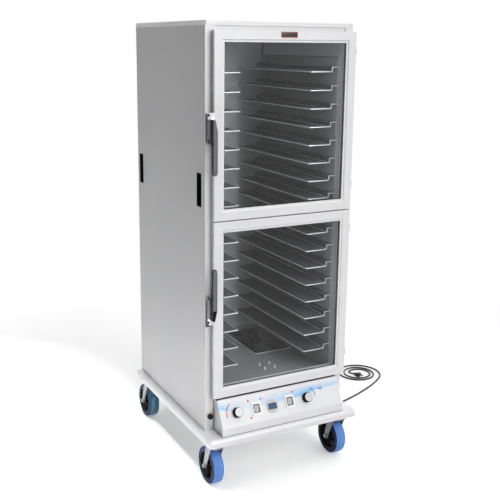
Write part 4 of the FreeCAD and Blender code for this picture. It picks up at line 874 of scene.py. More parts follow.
def switch_white():
    return surface("switch white", (0.93, 0.93, 0.93), 0.30, speckle_scale=1500.0, speckle_tone=0.03,
                   smudge_scale=30.0, smudge_tone=0.03, bump=0.04)


def rocker_grey():
    return surface("rocker grey", (0.52, 0.52, 0.50), 0.34, speckle_scale=1500.0, speckle_tone=0.05,
                   smudge_scale=40.0, smudge_tone=0.06, bump=0.06)


def bezel_beige():
    return surface("display bezel", (0.60, 0.58, 0.55), 0.36, speckle_scale=1500.0, speckle_tone=0.05,
                   smudge_scale=30.0, smudge_tone=0.05, bump=0.06)


def wool_yellow():
    return surface("wool batt", (0.66, 0.55, 0.28), 0.9, speckle_scale=240.0, speckle_tone=0.3,
                   smudge_scale=14.0, smudge_tone=0.25, bump=0.5)


def badge_dark():
    return surface("badge face", (0.035, 0.033, 0.032), 0.30, 0.3, grain=GRAIN_ALONG, grain_tone=0.25,
                   smudge_scale=40.0, smudge_tone=0.2, bump=0.05)


def badge_rim():
    return surface("badge rim", (0.46, 0.10, 0.05), 0.34, 0.3, grain=GRAIN_ALONG, grain_tone=0.15,
                   smudge_scale=60.0, smudge_tone=0.2, bump=0.05)


def print_ink(name, colour, smudge_tone=0.12):
    return surface(name, colour, 0.4, speckle_scale=2000.0, speckle_tone=0.05, smudge_scale=60.0,
                   smudge_tone=smudge_tone, bump=0.02)


def print_red():
    return print_ink("print red", (0.90, 0.20, 0.30))


def print_pink():
    return print_ink("print pink", (0.92, 0.60, 0.60), 0.08)


def print_navy():
    return print_ink("print blue", (0.07, 0.36, 0.88))


@once("clear pane")
def clear_pane(material, tree, shader, coords):
    """Clear door glazing with faint cleaning marks. Light passes it on its way to the cavity."""
    fixed(shader, Transmission_Weight=1.0, IOR=1.3, Specular_IOR_Level=0.1)
    smudges = group_node(tree, smudge(), coords, Scale=3.0)
    tree.links.new(remap(tree, smudges, 0.0, 1.0, 0.0, 0.01), shader.inputs["Roughness"])
    tint = mix_colour(tree, smudges, (0.93, 0.95, 0.96, 1.0), (0.97, 0.98, 0.98, 1.0))
    tree.links.new(tint, shader.inputs["Base Color"])
    passing = tree.nodes.new("ShaderNodeBsdfTransparent")
    fixed(passing, Color=(0.90, 0.91, 0.92, 1.0))
    path = tree.nodes.new("ShaderNodeLightPath")
    blend_shaders(tree, path.outputs["Is Shadow Ray"], shader, passing)
    return material


@once("indicator lens")
def lens_red(material, tree, shader, coords):
    """Moulded lens, a little lit from inside."""
    fixed(shader, Roughness=0.16, Coat_Weight=0.5, Emission_Strength=0.35)
    dots = group_node(tree, speckle(), coords, Scale=900.0)
    colour = tuple(colours().light_red)
    paint = mix_colour(tree, dots, shade(colour, 0.8), shade(colour, 1.15))
    tree.links.new(paint, shader.inputs["Base Color"])
    tree.links.new(paint, shader.inputs["Emission Color"])
    return material


@once("display window")
def display_blue(material, tree, shader, coords):
    """Dark display window with rows of faint cells."""
    fixed(shader, Roughness=0.3, Specular_IOR_Level=0.2)
    cells = add_node(tree, "ShaderNodeTexBrick", {"Scale": 260.0, "Mortar Size": 0.012, "offset": 0.0,
                                                  "Color1": (0.040, 0.090, 0.180, 1.0),
                                                  "Color2": (0.048, 0.105, 0.205, 1.0),
                                                  "Mortar": (0.028, 0.065, 0.140, 1.0)}, Vector=coords)
    smudges = group_node(tree, smudge(), coords, Scale=60.0)
    paint = mix_colour(tree, smudges, cells.outputs["Color"], (0.055, 0.115, 0.22, 1.0))
    tree.links.new(paint, shader.inputs["Base Color"])
    return material


# Control panel directions: across, up the slope and out of it
PANEL_OUT = Vector(JOINTS["temperature_knob_turn"]["axis"]).normalized()
PANEL_UP = PANEL_OUT.cross(X_AXIS).normalized()
# Its top edge stands this far before the front rails, and its plate is this thick
PANEL_AHEAD = 31.5 * MM
PANEL_TOP = Vector((0.0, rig.box("front_rails")[0].y - PANEL_AHEAD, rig.box("front_rails")[0].z))
FACE = 1.2 * MM
# The printed band: half its length, the row that it starts at, and how it fades at its foot
BAND_HALF = 295.0 * MM
BAND_TOP = 4.0 * MM
BAND_FADE = (-2.5 * MM, 3.0 * MM)
BAND_DEPTH = 0.1


def panel_place(side, row, out=0.0):
    """A placement on the sloped panel: across, down from its top edge, out of it, all in metres."""
    origin = PANEL_TOP + X_AXIS * side - PANEL_UP * row + PANEL_OUT * out
    return frame_matrix(origin, X_AXIS, PANEL_UP)


def ramp(tree, socket, stops):
    """A grey or coloured curve through stops of (position, colour)."""
    made = tree.nodes.new("ShaderNodeValToRGB")
    made.color_ramp.interpolation = "EASE"
    points = made.color_ramp.elements
    while len(points) < len(stops):
        points.new(0.5)
    for point, (position, colour) in zip(points, stops):
        point.position = position
        point.color = colour if len(colour) == 4 else (*colour, 1.0)
    tree.links.new(socket, made.inputs["Fac"])
    return made.outputs["Color"]


def grey(value):
    return (value, value, value, 1.0)


@once("printed panel")
def printed_panel(material, tree, shader, coords):
    """White faceplate with a soft blue band that swells and fades across it."""
    fixed(shader, Coat_Weight=0.15)
    split = add_node(tree, "ShaderNodeSeparateXYZ", {}, Vector=coords)
    drop = vector_maths(tree, "DOT_PRODUCT", coords, -PANEL_UP)
    row = maths(tree, "ADD", drop.outputs["Value"], PANEL_TOP.dot(PANEL_UP))
    along = remap(tree, split.outputs["X"], -BAND_HALF, BAND_HALF, kind="LINEAR")
    strength = ramp(tree, along, [(0.0, grey(0.85)), (0.05, grey(0.85)), (0.09, grey(0.30)),
                                  (0.22, grey(0.15)), (0.47, grey(0.46)), (0.66, grey(0.88)),
                                  (0.77, grey(1.0)), (0.84, grey(0.62)), (1.0, grey(0.52))])
    foot = ramp(tree, along, [(0.0, grey(0.34)), (0.09, grey(0.45)), (0.45, grey(0.51)), (0.66, grey(0.47)),
                              (0.81, grey(0.31)), (1.0, grey(0.28))])
    foot_row = maths(tree, "MULTIPLY", foot, BAND_DEPTH)
    over = maths(tree, "DIVIDE", maths(tree, "SUBTRACT", row, BAND_TOP), foot_row)
    rise = remap(tree, over, 0.0, 0.75, kind="LINEAR")
    under = maths(tree, "SUBTRACT", row, foot_row)
    fade = remap(tree, under, *BAND_FADE, 1.0, 0.0)
    mask = maths(tree, "MULTIPLY", maths(tree, "MULTIPLY", rise, fade), strength)
    dots = group_node(tree, speckle(), coords, Scale=1500.0)
    base = colours().panel_white
    white = mix_colour(tree, dots, shade(base, 0.99), shade(base, 1.02))
    paint = mix_colour(tree, mask, white, (*colours().print_blue, 1.0))
    tree.links.new(paint, shader.inputs["Base Color"])
    smudges = group_node(tree, smudge(), coords, Scale=8.0)
    tree.links.new(remap(tree, smudges, 0.0, 1.0, 0.30, 0.42, "LINEAR"), shader.inputs["Roughness"])
    return material


# Stage: floor, backdrop light, lamps and the camera

CAMERA_PLACE = Vector((-1.6755, -3.2117, 1.8202))
CAMERA_YAW = math.radians(27.387)
CAMERA_PITCH = math.radians(12.393)
CAMERA_ROLL = 0.0087
CAMERA_LENS = 58.957
CAMERA_SHIFT = (0.0257, -0.0521)
SENSOR = 36.0
# The floor lies a little under the wheels, and takes this shade where it is looked at
FLOOR_SIZE = 40.0
FLOOR_DROP = 0.6 * MM
FLOOR_SEEN = 1.4
# Distances in metres from the object at which the floor's light begins, is full, and turns to white
FLOOR_UNDER = 0.6
FLOOR_NEAR = 1.5
FLOOR_FAR = 2.5
# The share of the floor that is lit by itself close to the object, and how bright that light is
FLOOR_LIFT = 0.28
FLOOR_GLOW = 2.0
# The sky's level away from its soft side and towards it
WORLD_LOW = 0.10
WORLD_HIGH = 1.1
WORLD_EDGE = -0.3
SOFT_SIDE = (1.0, -0.55, -0.10)
# Each lamp: name, place, aim, size, watts and spread in degrees
LAMPS = (
    ("key", (1.1, -4.7, 3.2), (0.0, 0.0, 0.9), (2.4, 2.4), 86.0, 180.0),
    ("top", (0.6, 0.0, 5.6), (0.6, 0.0, 0.0), (6.0, 6.0), 120.0, 180.0),
    ("floor_wash", (-1.5, 0.0, 3.6), (-1.5, 0.0, 0.0), (0.4, 2.0), 165.0, 36.0),
    ("back", (2.6, 4.4, 3.4), (0.0, 0.0, 0.8), (3.0, 3.0), 26.0, 180.0),
)


def background_level(tree, level):
    """White where the background is looked at, mirrored or seen through, and a plain level as light."""
    path = tree.nodes.new("ShaderNodeLightPath")
    seen = maths(tree, "MAXIMUM", path.outputs["Is Camera Ray"], path.outputs["Is Transmission Ray"])
    seen = maths(tree, "MAXIMUM", seen, path.outputs["Is Glossy Ray"])
    return maths(tree, "ADD", seen, maths(tree, "MULTIPLY", maths(tree, "SUBTRACT", 1.0, seen), level))


class CABINET_OT_stage(bpy.types.Operator):
    """Makes the floor, the soft studio light and the camera"""

    bl_idname = "cabinet.stage"
    bl_label = "Stage"

    def floor(self):
        clear_selection()
        bpy.ops.mesh.primitive_plane_add(size=FLOOR_SIZE, location=(0, 0, -FLOOR_DROP))
        floor = bpy.context.object
        floor.name = "floor"
        material, tree, shader, coords = blank_material("pale floor")
        dots = group_node(tree, speckle(), coords, Scale=40.0)
        paint = mix_colour(tree, dots, (0.86, 0.86, 0.865, 1.0), (0.89, 0.89, 0.89, 1.0))
        looked_at = tree.nodes.new("ShaderNodeLightPath").outputs["Is Camera Ray"]
        tree.links.new(mix_colour(tree, looked_at, paint, grey(FLOOR_SEEN)), shader.inputs["Base Color"])
        fixed(shader, Roughness=0.85, Specular_IOR_Level=0.1)
        away = vector_maths(tree, "LENGTH", coords)
        far = remap(tree, away.outputs["Value"], FLOOR_NEAR, FLOOR_FAR)
        glow = tree.nodes.new("ShaderNodeEmission")
        near = remap(tree, away.outputs["Value"], FLOOR_UNDER, FLOOR_NEAR)
        ring = maths(tree, "MULTIPLY", near, maths(tree, "SUBTRACT", 1.0, far))
        level = remap(tree, ring, 0.0, 1.0, WORLD_LOW, FLOOR_GLOW, "LINEAR")
        tree.links.new(background_level(tree, level), glow.inputs["Strength"])
        lift = remap(tree, far, 0.0, 1.0, FLOOR_LIFT, 1.0, "LINEAR")
        blend_shaders(tree, lift, shader, glow)
        floor.data.materials.append(material)
        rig.stage(floor)

    def lamp(self, name, place, aim, size, power, spread):
        data = bpy.data.lights.new(name, "AREA")
        data.shape = "RECTANGLE"
        data.size = size[0]
        data.size_y = size[1]
        data.energy = power
        data.spread = math.radians(spread)
        lamp = linked(name, data)
        lamp.location = place
        lamp.rotation_mode = "QUATERNION"
        lamp.rotation_quaternion = (Vector(aim) - Vector(place)).to_track_quat("-Z", "Y")
        lamp.visible_camera = False

    def world(self):
        world = bpy.data.worlds.new("studio")
        bpy.context.scene.world = world
        world.use_nodes = True
        tree = world.node_tree
        background = tree.nodes["Background"]
        fixed(background, Color=(1, 1, 1, 1))
        towards = tree.nodes.new("ShaderNodeTexCoord").outputs["Generated"]
        facing = vector_maths(tree, "DOT_PRODUCT", towards, Vector(SOFT_SIDE).normalized())
        level = remap(tree, facing.outputs["Value"], WORLD_EDGE, 1.0, WORLD_LOW, WORLD_HIGH)
        tree.links.new(background_level(tree, level), background.inputs["Strength"])

    def camera(self):
        forward = Vector((math.sin(CAMERA_YAW) * math.cos(CAMERA_PITCH),
                          math.cos(CAMERA_YAW) * math.cos(CAMERA_PITCH), -math.sin(CAMERA_PITCH)))
        right = Vector((math.cos(CAMERA_YAW), -math.sin(CAMERA_YAW), 0.0))
        up = right.cross(forward)
        turn = math.cos(CAMERA_ROLL), math.sin(CAMERA_ROLL)
        across = right * turn[0] + up * turn[1]
        over = up * turn[0] - right * turn[1]
        data = bpy.data.cameras.new("photo_camera")
        data.lens = CAMERA_LENS
        data.sensor_width = SENSOR
        data.shift_x, data.shift_y = CAMERA_SHIFT
        camera = linked("photo_camera", data)
        camera.matrix_world = Matrix.Translation(CAMERA_PLACE) @ Matrix(
            (across, over, -forward)).transposed().to_4x4()
        bpy.context.scene.camera = camera

    def execute(self, context):
        context.scene.view_settings.view_transform = "Standard"
        self.floor()
        self.world()
        for lamp in LAMPS:
            self.lamp(*lamp)
        self.camera()
        return {"FINISHED"}


# Power cord, its gland and its plug

CORD_LENGTH = 3.03
CORD_EXIT = (86.0, 424.5, 300.0)
CORD_DROP = ((86.0, 462.5, 297.0), (86.0, 494.5, 262.0), (86.0, 502.5, 196.0), (86.0, 496.5, 122.0),
             (86.0, 476.5, 56.0), (85.0, 438.5, 13.0))
CORD_FLOOR = ((84, 350), (86, 285), (98, 222), (126, 164), (170, 114), (226, 75), (292, 47), (364, 30),
              (440, 25), (516, 30), (592, 44), (666, 64), (738, 89), (808, 117), (876, 148), (940, 182),
              (996, 219))
CORD_TAIL = ((919.0, 386.4, 4.6), (906.0, 375.1, 5.6), (899.5, 359.1, 7.2), (901.0, 341.9, 8.9),
             (905.5, 334.5, 9.5), (910.0, 327.3, 9.5))
COIL_CENTRE = (940.0, 338.0)
COIL_OUTER = 128.0
COIL_INNER = 70.0
COIL_LAST = 52.0
COIL_START = -46.0
COIL_TURNED = 720.0
COIL_END = 150.0
COIL_STEP = 15.0
PLUG_HEADING = math.radians(302.0)
# The plug from its ribbed neck to its flat front: half width, half height and distance along
PLUG_LOOPS = ((4.6, 4.6, 0.2), (6.2, 6.0, 1.2), (6.2, 6.0, 2.6), (5.2, 5.0, 3.2), (5.2, 5.0, 4.2),
              (7.2, 6.6, 4.8), (7.2, 6.6, 6.4), (6.2, 5.8, 7.0), (6.4, 5.9, 8.0), (9.6, 7.6, 10.5),
              (12.6, 9.0, 15.5), (13.4, 9.4, 21.0), (13.5, 9.5, 30.0), (13.5, 9.5, 34.2), (12.7, 8.8, 36.0))
# The gland: flange, ribs that taper along the strain relief, and its open end
GLAND_FLANGE = [(8.6, 0.0), (16.4, 0.0), (17.0, 0.6), (17.0, 3.6), (15.6, 5.0), (11.4, 5.2), (10.2, 6.4)]
GLAND_END = [(5.6, 37.6), (4.4, 38.0), (4.3, 30.0)]
GLAND_RIBS = 6
GLAND_STEPS = 40


def coil_radius(turned):
    if turned <= COIL_TURNED:
        return COIL_INNER + (COIL_OUTER - COIL_INNER) * (1 - turned / COIL_TURNED) ** 1.5
    along = (turned - COIL_TURNED) / COIL_END
    return COIL_INNER + (COIL_LAST - COIL_INNER) * along * along * (3 - 2 * along)


class CABINET_OT_power_cord(bpy.types.Operator):
    """Lays the power cord down behind the cabinet, under it and out into its loose coil"""

    bl_idname = "cabinet.power_cord"
    bl_label = "Power cord"

    def route(self):
        lie = sizes().cord_diameter / MM / 2
        points = [CORD_EXIT, *CORD_DROP]
        points += [(x, y, lie) for x, y in CORD_FLOOR]
        for step in range(int((COIL_TURNED + COIL_END) / COIL_STEP) + 1):
            turned = step * COIL_STEP
            angle = math.radians(COIL_START + turned)
            points.append((COIL_CENTRE[0] + coil_radius(turned) * math.cos(angle),
                           COIL_CENTRE[1] + coil_radius(turned) * math.sin(angle), lie))
        return [Vector(point) * MM for point in points + list(CORD_TAIL)]

    def plug(self):
        """A moulded plug that swells from a ribbed neck to a flat front."""
        obj = ease(drawn(PLUG_LOOPS), 2.6 * MM, 4, 60)
        start = Vector(CORD_TAIL[-1]) * MM
        way = Vector((math.cos(PLUG_HEADING), math.sin(PLUG_HEADING), 0.0))
        settle(obj, frame_matrix(start, Z_AXIS.cross(way), way.cross(Z_AXIS.cross(way))))
        smooth(obj, 40)
        return piece(obj, "plug", "cabinet", "cord_black", cord_rubber(), "plug_body")

    def gland(self):
        """A screwed flange with a ribbed, tapered strain relief."""
        loops = list(GLAND_FLANGE)
        for rib in range(GLAND_RIBS):
            start = 7.5 + rib * 5.0
            outer = 9.8 - rib * 0.45
            inner = outer - 1.4
            loops += [(outer, start), (outer, start + 2.6), (inner, start + 3.2), (inner, start + 4.4)]
        obj = turned(loops + GLAND_END, GLAND_STEPS)
        low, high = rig.box("cord_gland")
        place = Vector(((low.x + high.x) / 2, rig.box("back_outer_panel")[1].y, (low.z + high.z) / 2))
        settle(obj, frame_matrix(place, X_AXIS, -Z_AXIS))
        smooth(obj)
        return piece(obj, "strain_relief", "cabinet", "black_plastic", black_plastic(), "cord_gland")

    def execute(self, context):
        points = self.route()
        curve = bpy.data.curves.new("power_cord_line", "CURVE")
        curve.dimensions = "3D"
        spline = curve.splines.new("NURBS")
        spline.points.add(len(points) - 1)
        for point, place in zip(spline.points, points):
            point.co = (*place, 1.0)
        spline.order_u = 3
        spline.use_endpoint_u = True
        spline.resolution_u = 6
        curve.bevel_depth = sizes().cord_diameter / 2
        curve.bevel_resolution = 5
        curve.use_fill_caps = True
        cord = linked("power_cord_run", curve)
        curve.materials.append(cord_rubber())
        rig.ride(cord, "cabinet")
        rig.slot(cord, "cord_black")
        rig.replaces(cord, "power_cord", "power_cord_coil")
        plug = self.plug()
        pins = dress("plug_pins", "plug_blades", "cabinet", "plug_brass", brass(), 0.3 * MM, angle=30)
        self.gland()
        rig.cord(cord, exit=[x * MM for x in CORD_EXIT], length=CORD_LENGTH, diameter=sizes().cord_diameter,
                far_end="plug", stiffness="medium", lay="loose", with_pieces=[plug, pins])
        return {"FINISHED"}


# Casters

# Half profiles of the tyre and the hub: (radius, distance from the wheel's middle plane)
TYRE_HALF = [(63.0, -24.6), (66.0, -25.0), (72.0, -25.0), (75.2, -24.2), (77.8, -22.2), (79.2, -19.2),
             (79.7, -16.2), (79.4, -15.6), (79.4, -14.8), (79.9, -14.2)]
TREAD_CROWN = [(80.0, 0.0)]
HUB_HALF = [(6.3, -26.0), (10.0, -26.0), (10.6, -25.4), (10.6, -24.2), (16.2, -24.0), (17.0, -23.2),
            (17.6, -9.0), (19.0, -7.6), (38.0, -7.2), (39.0, -9.4), (44.0, -9.6), (45.0, -7.6),
            (53.0, -8.0), (54.6, -10.0), (55.6, -23.4), (56.6, -24.6), (61.8, -24.6), (62.8, -23.8),
            (62.8, -4.0)]
RIB_LOW = (16.6, -2.2, 0.0)
RIB_HIGH = (55.4, 2.2, 9.5)
RIB_RISE = 6.6
# A plate's bolts: their profile, and how far they stand from the swivel and below the plate's top
BOLT = ((6.4, 0.0), (6.4, 3.6), (5.4, 4.4))
BOLT_SIDES = 6
BOLT_ACROSS = 34 * MM
BOLT_ALONG = 42 * MM
BOLT_DROP = 5 * MM
# Faces of the tyre that look this much sideways are its side walls
SIDE_WALL = 0.7


class CABINET_OT_casters(bpy.types.Operator):
    """Turns the tyres and hubs, and dresses the forks and top plates"""

    bl_idname = "cabinet.casters"
    bl_label = "Casters"

    def hub(self, steps):
        """A moulded wheel centre: bearing boss, stepped web and a rim under the tyre."""
        obj = turned(HUB_HALF + mirrored(HUB_HALF), steps, ends=False)
        rib = ease(block_mm(RIB_LOW, RIB_HIGH), 0.9 * MM)
        count = sizes().hub_ribs
        ribs = []
        for flip in (math.pi, 0.0):
            for index in range(count):
                turn = Matrix.Rotation(math.tau * (index + 0.5) / count, 4, "Z")
                place = turn @ Matrix.Translation((0, 0, RIB_RISE * MM))
                ribs.append(copy_of(rib, Matrix.Rotation(flip, 4, "X") @ place))
        bpy.data.objects.remove(rib)
        return joined([obj] + ribs)

    def execute(self, context):
        steps = sizes().round_steps
        tyre = turned(TYRE_HALF + TREAD_CROWN + mirrored(TYRE_HALF), steps, ends=False)
        smooth(close_ring(tyre), 40)
        hub = smooth(close_ring(self.hub(steps)), 35)
        bolt = turned(BOLT, BOLT_SIDES)
        bolts = []
        for name in CASTERS:
            centre = middle(name + "_hub")
            matrix = frame_matrix(centre, Y_AXIS, Z_AXIS)
            # Painted shade: the rear tyres get the darker teal rubber
            rubber = tyre_rubber("tyre_teal" if name.startswith("rear") else "tyre_blue")
            tread = copy_of(tyre, matrix)
            piece(tread, name + "_tread", name + "_wheel", "tyre_blue", rubber, name + "_tyre")
            second_finish(tread, side_wall(), lambda face: abs(face.normal.x) > SIDE_WALL)
            piece(copy_of(hub, matrix), name + "_wheel_centre", name + "_wheel", "hub_black", hub_black(),
                  name + "_hub")
            dress(name + "_fork", name + "_fork_legs", name + "_swivel", "zinc_steel", zinc(), 0.8 * MM)
            swivel = Vector(JOINTS[name + "_caster_swivel"]["pos_m"])
            for across in (-1, 1):
                for along in (-1, 1):
                    spot = Vector((swivel.x + BOLT_ACROSS * across, swivel.y + BOLT_ALONG * along,
                                   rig.box("caster_plates")[1].z - BOLT_DROP))
                    bolts.append(copy_of(bolt, Matrix.Translation(spot) @ Matrix.Rotation(math.pi, 4, "X")))
        for spare in (tyre, hub, bolt):
            bpy.data.objects.remove(spare)
        dress("caster_plates", "caster_top_plates", "cabinet", "zinc_steel", zinc(), 0.6 * MM)
        piece(smooth(joined(bolts)), "caster_bolts", "cabinet", "zinc_steel", zinc())
        return {"FINISHED"}


# Sheet metal of the base and the body

class CABINET_OT_body(bpy.types.Operator):
    """Dresses the base, the panels, the front frame and the top cap"""

    bl_idname = "cabinet.body"
    bl_label = "Body"

    def execute(self, context):
        edge = sizes().sheet_edge
        for node, name, finish, slot, angle in (
                ("base_platform", "base_deck", frame_white(), "frame_white", 25),
                ("top_cap", "roof_cap", frame_white(), "frame_white", 25),
                ("front_stiles", "door_stiles", frame_white(), "frame_white", 35),
                ("front_rails", "header_and_sill", frame_white(), "frame_white", 35),
                ("side_outer_panels", "side_walls", wall_grey(), "body_sheet", 35),
                ("back_outer_panel", "back_wall", wall_grey(), "body_sheet", 35),
                ("base_channels", "under_channels", zinc(), "zinc_steel", 35)):
            dress(node, name, "cabinet", slot, finish, 0.0 if node == "base_platform" else edge, angle=angle)
        finish_node("wall_insulation", wool_yellow())
        return {"FINISHED"}


# Cavity

# Tray slides in millimetres: pitch, width of the upper flange, height of the riser, and the nosing that is painted
# bright as a highlight
SLIDE_PITCH = 76.2
SLIDE_FLANGE = 31.4
SLIDE_RISE = 21.6
NOSING_DEPTH = 2.7
NOSING_AHEAD = 1.2
# The sheet behind a rack ends at this height in millimetres
RACK_TOP = 1770.0
# Rounding of thin trim
TRIM_EDGE = 0.8 * MM
# How far below its rim the pan's buckles start, how wide they are and how far they go up and down
BUCKLE_BELOW = 5 * MM
BUCKLE_WIDTH = 0.055
BUCKLE_DEPTH = 16 * MM
BUCKLE_CUTS = 9
FLOOR_RIVETS = ((139.6, -57.0), (79.2, 44.6))
RIVET_HEAD = ((3.8, -0.6), (3.8, 0.3), (3.0, 0.9), (1.6, 1.2))
RIVET_STEPS = 20


class CABINET_OT_cavity(bpy.types.Operator):
    """Dresses the cavity: liners, floor, tray slides, water pan and heating element"""

    bl_idname = "cabinet.cavity"
    bl_label = "Cavity"

    def span(self, side, inner, outer):
        """Two distances from the middle, in millimetres, as ends along X on one side of the cabinet."""
        sense = -1 if side == "left" else 1
        return sorted((inner * sense * MM, outer * sense * MM))

    def nosings(self, side, low, high):
        """Edges of one rack's slides painted bright as painted highlights: front ends of shelf, riser and flange, lip
        and fold.
        """
        wall = max(abs(low.x), abs(high.x)) / MM
        lip = min(abs(low.x), abs(high.x)) / MM
        riser = wall - SLIDE_FLANGE
        deep = (high.y - low.y) / MM
        runs = []
        for inner, outer, foot, head, reach in (
                (lip, riser + 3.4, -1.0, 3.4, NOSING_DEPTH),
                (riser - 0.9, riser + 3.4, -1.0, SLIDE_RISE, NOSING_DEPTH),
                (riser - 0.9, wall, SLIDE_RISE - 4.4, SLIDE_RISE, NOSING_DEPTH),
                (lip - 0.6, lip + 1.6, -1.0, 3.4, deep),
                (riser - 2.2, riser + 0.4, 2.3, 4.4, deep)):
            left, right = self.span(side, inner, outer)
            run = block((left, low.y - NOSING_AHEAD * MM, low.z + foot * MM),
                        (right, low.y + (reach - NOSING_AHEAD) * MM, low.z + head * MM))
            runs.append(ease(run, TRIM_EDGE))
        first = joined(runs)
        count = round((high.z - low.z - SLIDE_RISE * MM) / (SLIDE_PITCH * MM))
        rows = [copy_of(first, Matrix.Translation((0, 0, step * SLIDE_PITCH * MM)))
                for step in range(1, count + 1)]
        piece(smooth(joined([first] + rows)), side + "_slide_edge_highlights", "cabinet", "slide_metal", edge_highlight_paint())

    def rack_sheet(self, side, low, high):
        """The sheet behind one rack: it ends at the slides' front and under the ceiling, in a dark hem; the hem and a
        dark strip down the back corner are painted shadow lines.
        """
        wall = max(abs(low.x), abs(high.x)) / MM
        front = low.y + 0.5 * MM
        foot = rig.box("cavity_floor")[0].z + 3 * MM
        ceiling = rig.box("cavity_liners")[1].z - 6.0 * MM
        left, right = self.span(side, wall - 3.5, wall + 1.5)
        sheet = block((left, front, foot), (right, high.y, RACK_TOP * MM))
        # Painted shade: the sheet behind the slides takes the darker floor finish
        piece(smooth(ease(sheet, TRIM_EDGE)), side + "_rack_sheet", "cabinet", "liner_sheet", floor_grey())
        # Painted shadow lines: a dark hem along the sheet's top and a dark strip down the back corner
        left, right = self.span(side, wall - 5.0, wall + 1.5)
        hem = block((left, front, (RACK_TOP - 1.0) * MM), (right, high.y, (RACK_TOP + 2.2) * MM))
        joint = block((left, high.y - 5.0 * MM, RACK_TOP * MM), (right, high.y, ceiling))
        hems = smooth(ease(joined([hem, joint]), TRIM_EDGE))
        piece(hems, side + "_rack_hem", "cabinet", "slide_metal", slide_metal())

    def slides(self, side):
        """One rack of slides in painted shade, with painted highlights on its lips and nosings, and the sheet behind
        it.
        """
        node = side + "_tray_slides"
        rack = dress(node, side + "_slide_rack", "cabinet", "slide_metal", slide_metal(), 0.3 * MM, 1)
        low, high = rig.box(node)
        lip = high.x if side == "left" else low.x
        # Painted highlight: the lips' inner faces take the bright edge finish
        second_finish(rack, edge_highlight_paint(), lambda face: abs(face.normal.x) > 0.8 and (
            abs(face.center.x - lip) < 1.0 * MM))
        self.nosings(side, low, high)
        self.rack_sheet(side, low, high)

    def liners(self):
        """The cavity's sheets, with the jambs before the slides painted paler as painted light from the door."""
        sheets = dressed("cavity_liners", 0.0, 2, 35)
        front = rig.box("left_tray_slides")[0].y - 2.0 * MM
        divide(sheets, (0, front, 0), Y_AXIS)
        piece(sheets, "cavity_sheets", "cabinet", "liner_sheet", liner_grey(), "cavity_liners")
        # Painted light: faces on the jambs before the slides take the paler finish
        second_finish(sheets, jamb_painted_light(), lambda face: face.center.y < front and abs(face.normal.x) > 0.5)

    def floor(self):
        """The floor with its studs, painted white as painted light for the bright spots on the floor."""
        floor = dress("cavity_floor", "cavity_base", "cabinet", "liner_sheet", floor_grey(), 0.4 * MM)
        low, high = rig.box("cavity_floor")
        # Painted light: the raised studs take white paint for the bright spots of light on the dark floor
        second_finish(floor, frame_white(), lambda face: face.center.z > low.z + 2.5 * MM and (
            abs(face.center.x) < high.x / 2) and face.center.y < high.y / 2)

    def rivets(self):
        """Two rivets in the floor, painted white as painted light for bright spots on the floor."""
        rivet = turned(RIVET_HEAD, RIVET_STEPS)
        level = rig.box("cavity_floor")[0].z + 2.0 * MM
        rivets = [copy_of(rivet, Matrix.Translation((x * MM, y * MM, level))) for x, y in FLOOR_RIVETS]
        bpy.data.objects.remove(rivet)
        # Painted light: the rivets take white paint for bright spots of light
        piece(smooth(joined(rivets)), "floor_rivets", "cabinet", "liner_sheet", frame_white())

    def creases(self, pan):
        """The pan's thin funnel is buckled: its sheet is divided and pushed up and down below the rim."""
        edit(pan)
        bpy.ops.mesh.quads_convert_to_tris()
        bpy.ops.mesh.subdivide(number_cuts=BUCKLE_CUTS)
        done()
        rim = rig.box("water_pan")[1].z - BUCKLE_BELOW
        group = pan.vertex_groups.new(name="funnel")
        group.add([vertex.index for vertex in pan.data.vertices if vertex.co.z < rim], 1.0, "REPLACE")
        buckles = bpy.data.textures.new("pan buckles", "CLOUDS")
        buckles.noise_scale = BUCKLE_WIDTH
        buckles.noise_depth = 1
        apply_modifier(pan, "DISPLACE", texture=buckles, texture_coords="LOCAL", direction="Z",
                       strength=BUCKLE_DEPTH, mid_level=0.5, vertex_group="funnel")
        pan.vertex_groups.clear()
        return smooth(pan, 24)

    def pan(self):
        """The water pan with its buckled funnel, and a lip painted white as a painted highlight on its rim."""
        pan = self.creases(dressed("water_pan", 0.7 * MM, 2, 12))
        piece(pan, "water_tray", "water_pan", "pan_steel", pan_steel(), "water_pan")
        low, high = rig.box("water_pan")
        foot = high.z - 2.2 * MM
        rim = block((low.x + 1 * MM, low.y - 0.4 * MM, foot),
                    (high.x - 1 * MM, low.y + 3 * MM, high.z + 3.0 * MM))
        edge = block((low.x - 0.4 * MM, low.y, foot),
                     (low.x + 2.2 * MM, high.y - 2 * MM, high.z + 1.0 * MM))
        lip = smooth(ease(joined([rim, edge]), 0.9 * MM))
        # Painted highlight: the steel lip is painted white for the bright light on the pan's rim
        piece(lip, "water_pan_lip", "water_pan", "pan_steel", frame_white())

    def execute(self, context):
        for side in ("left", "right"):
            self.slides(side)
        self.liners()
        self.floor()
        self.pan()
        self.rivets()
        dress("heating_element", "heater_loop", "cabinet", "element_steel", element_steel(), 0.4 * MM)
        finish_node("control_thermostats", black_plastic())
        return {"FINISHED"}


# Doors

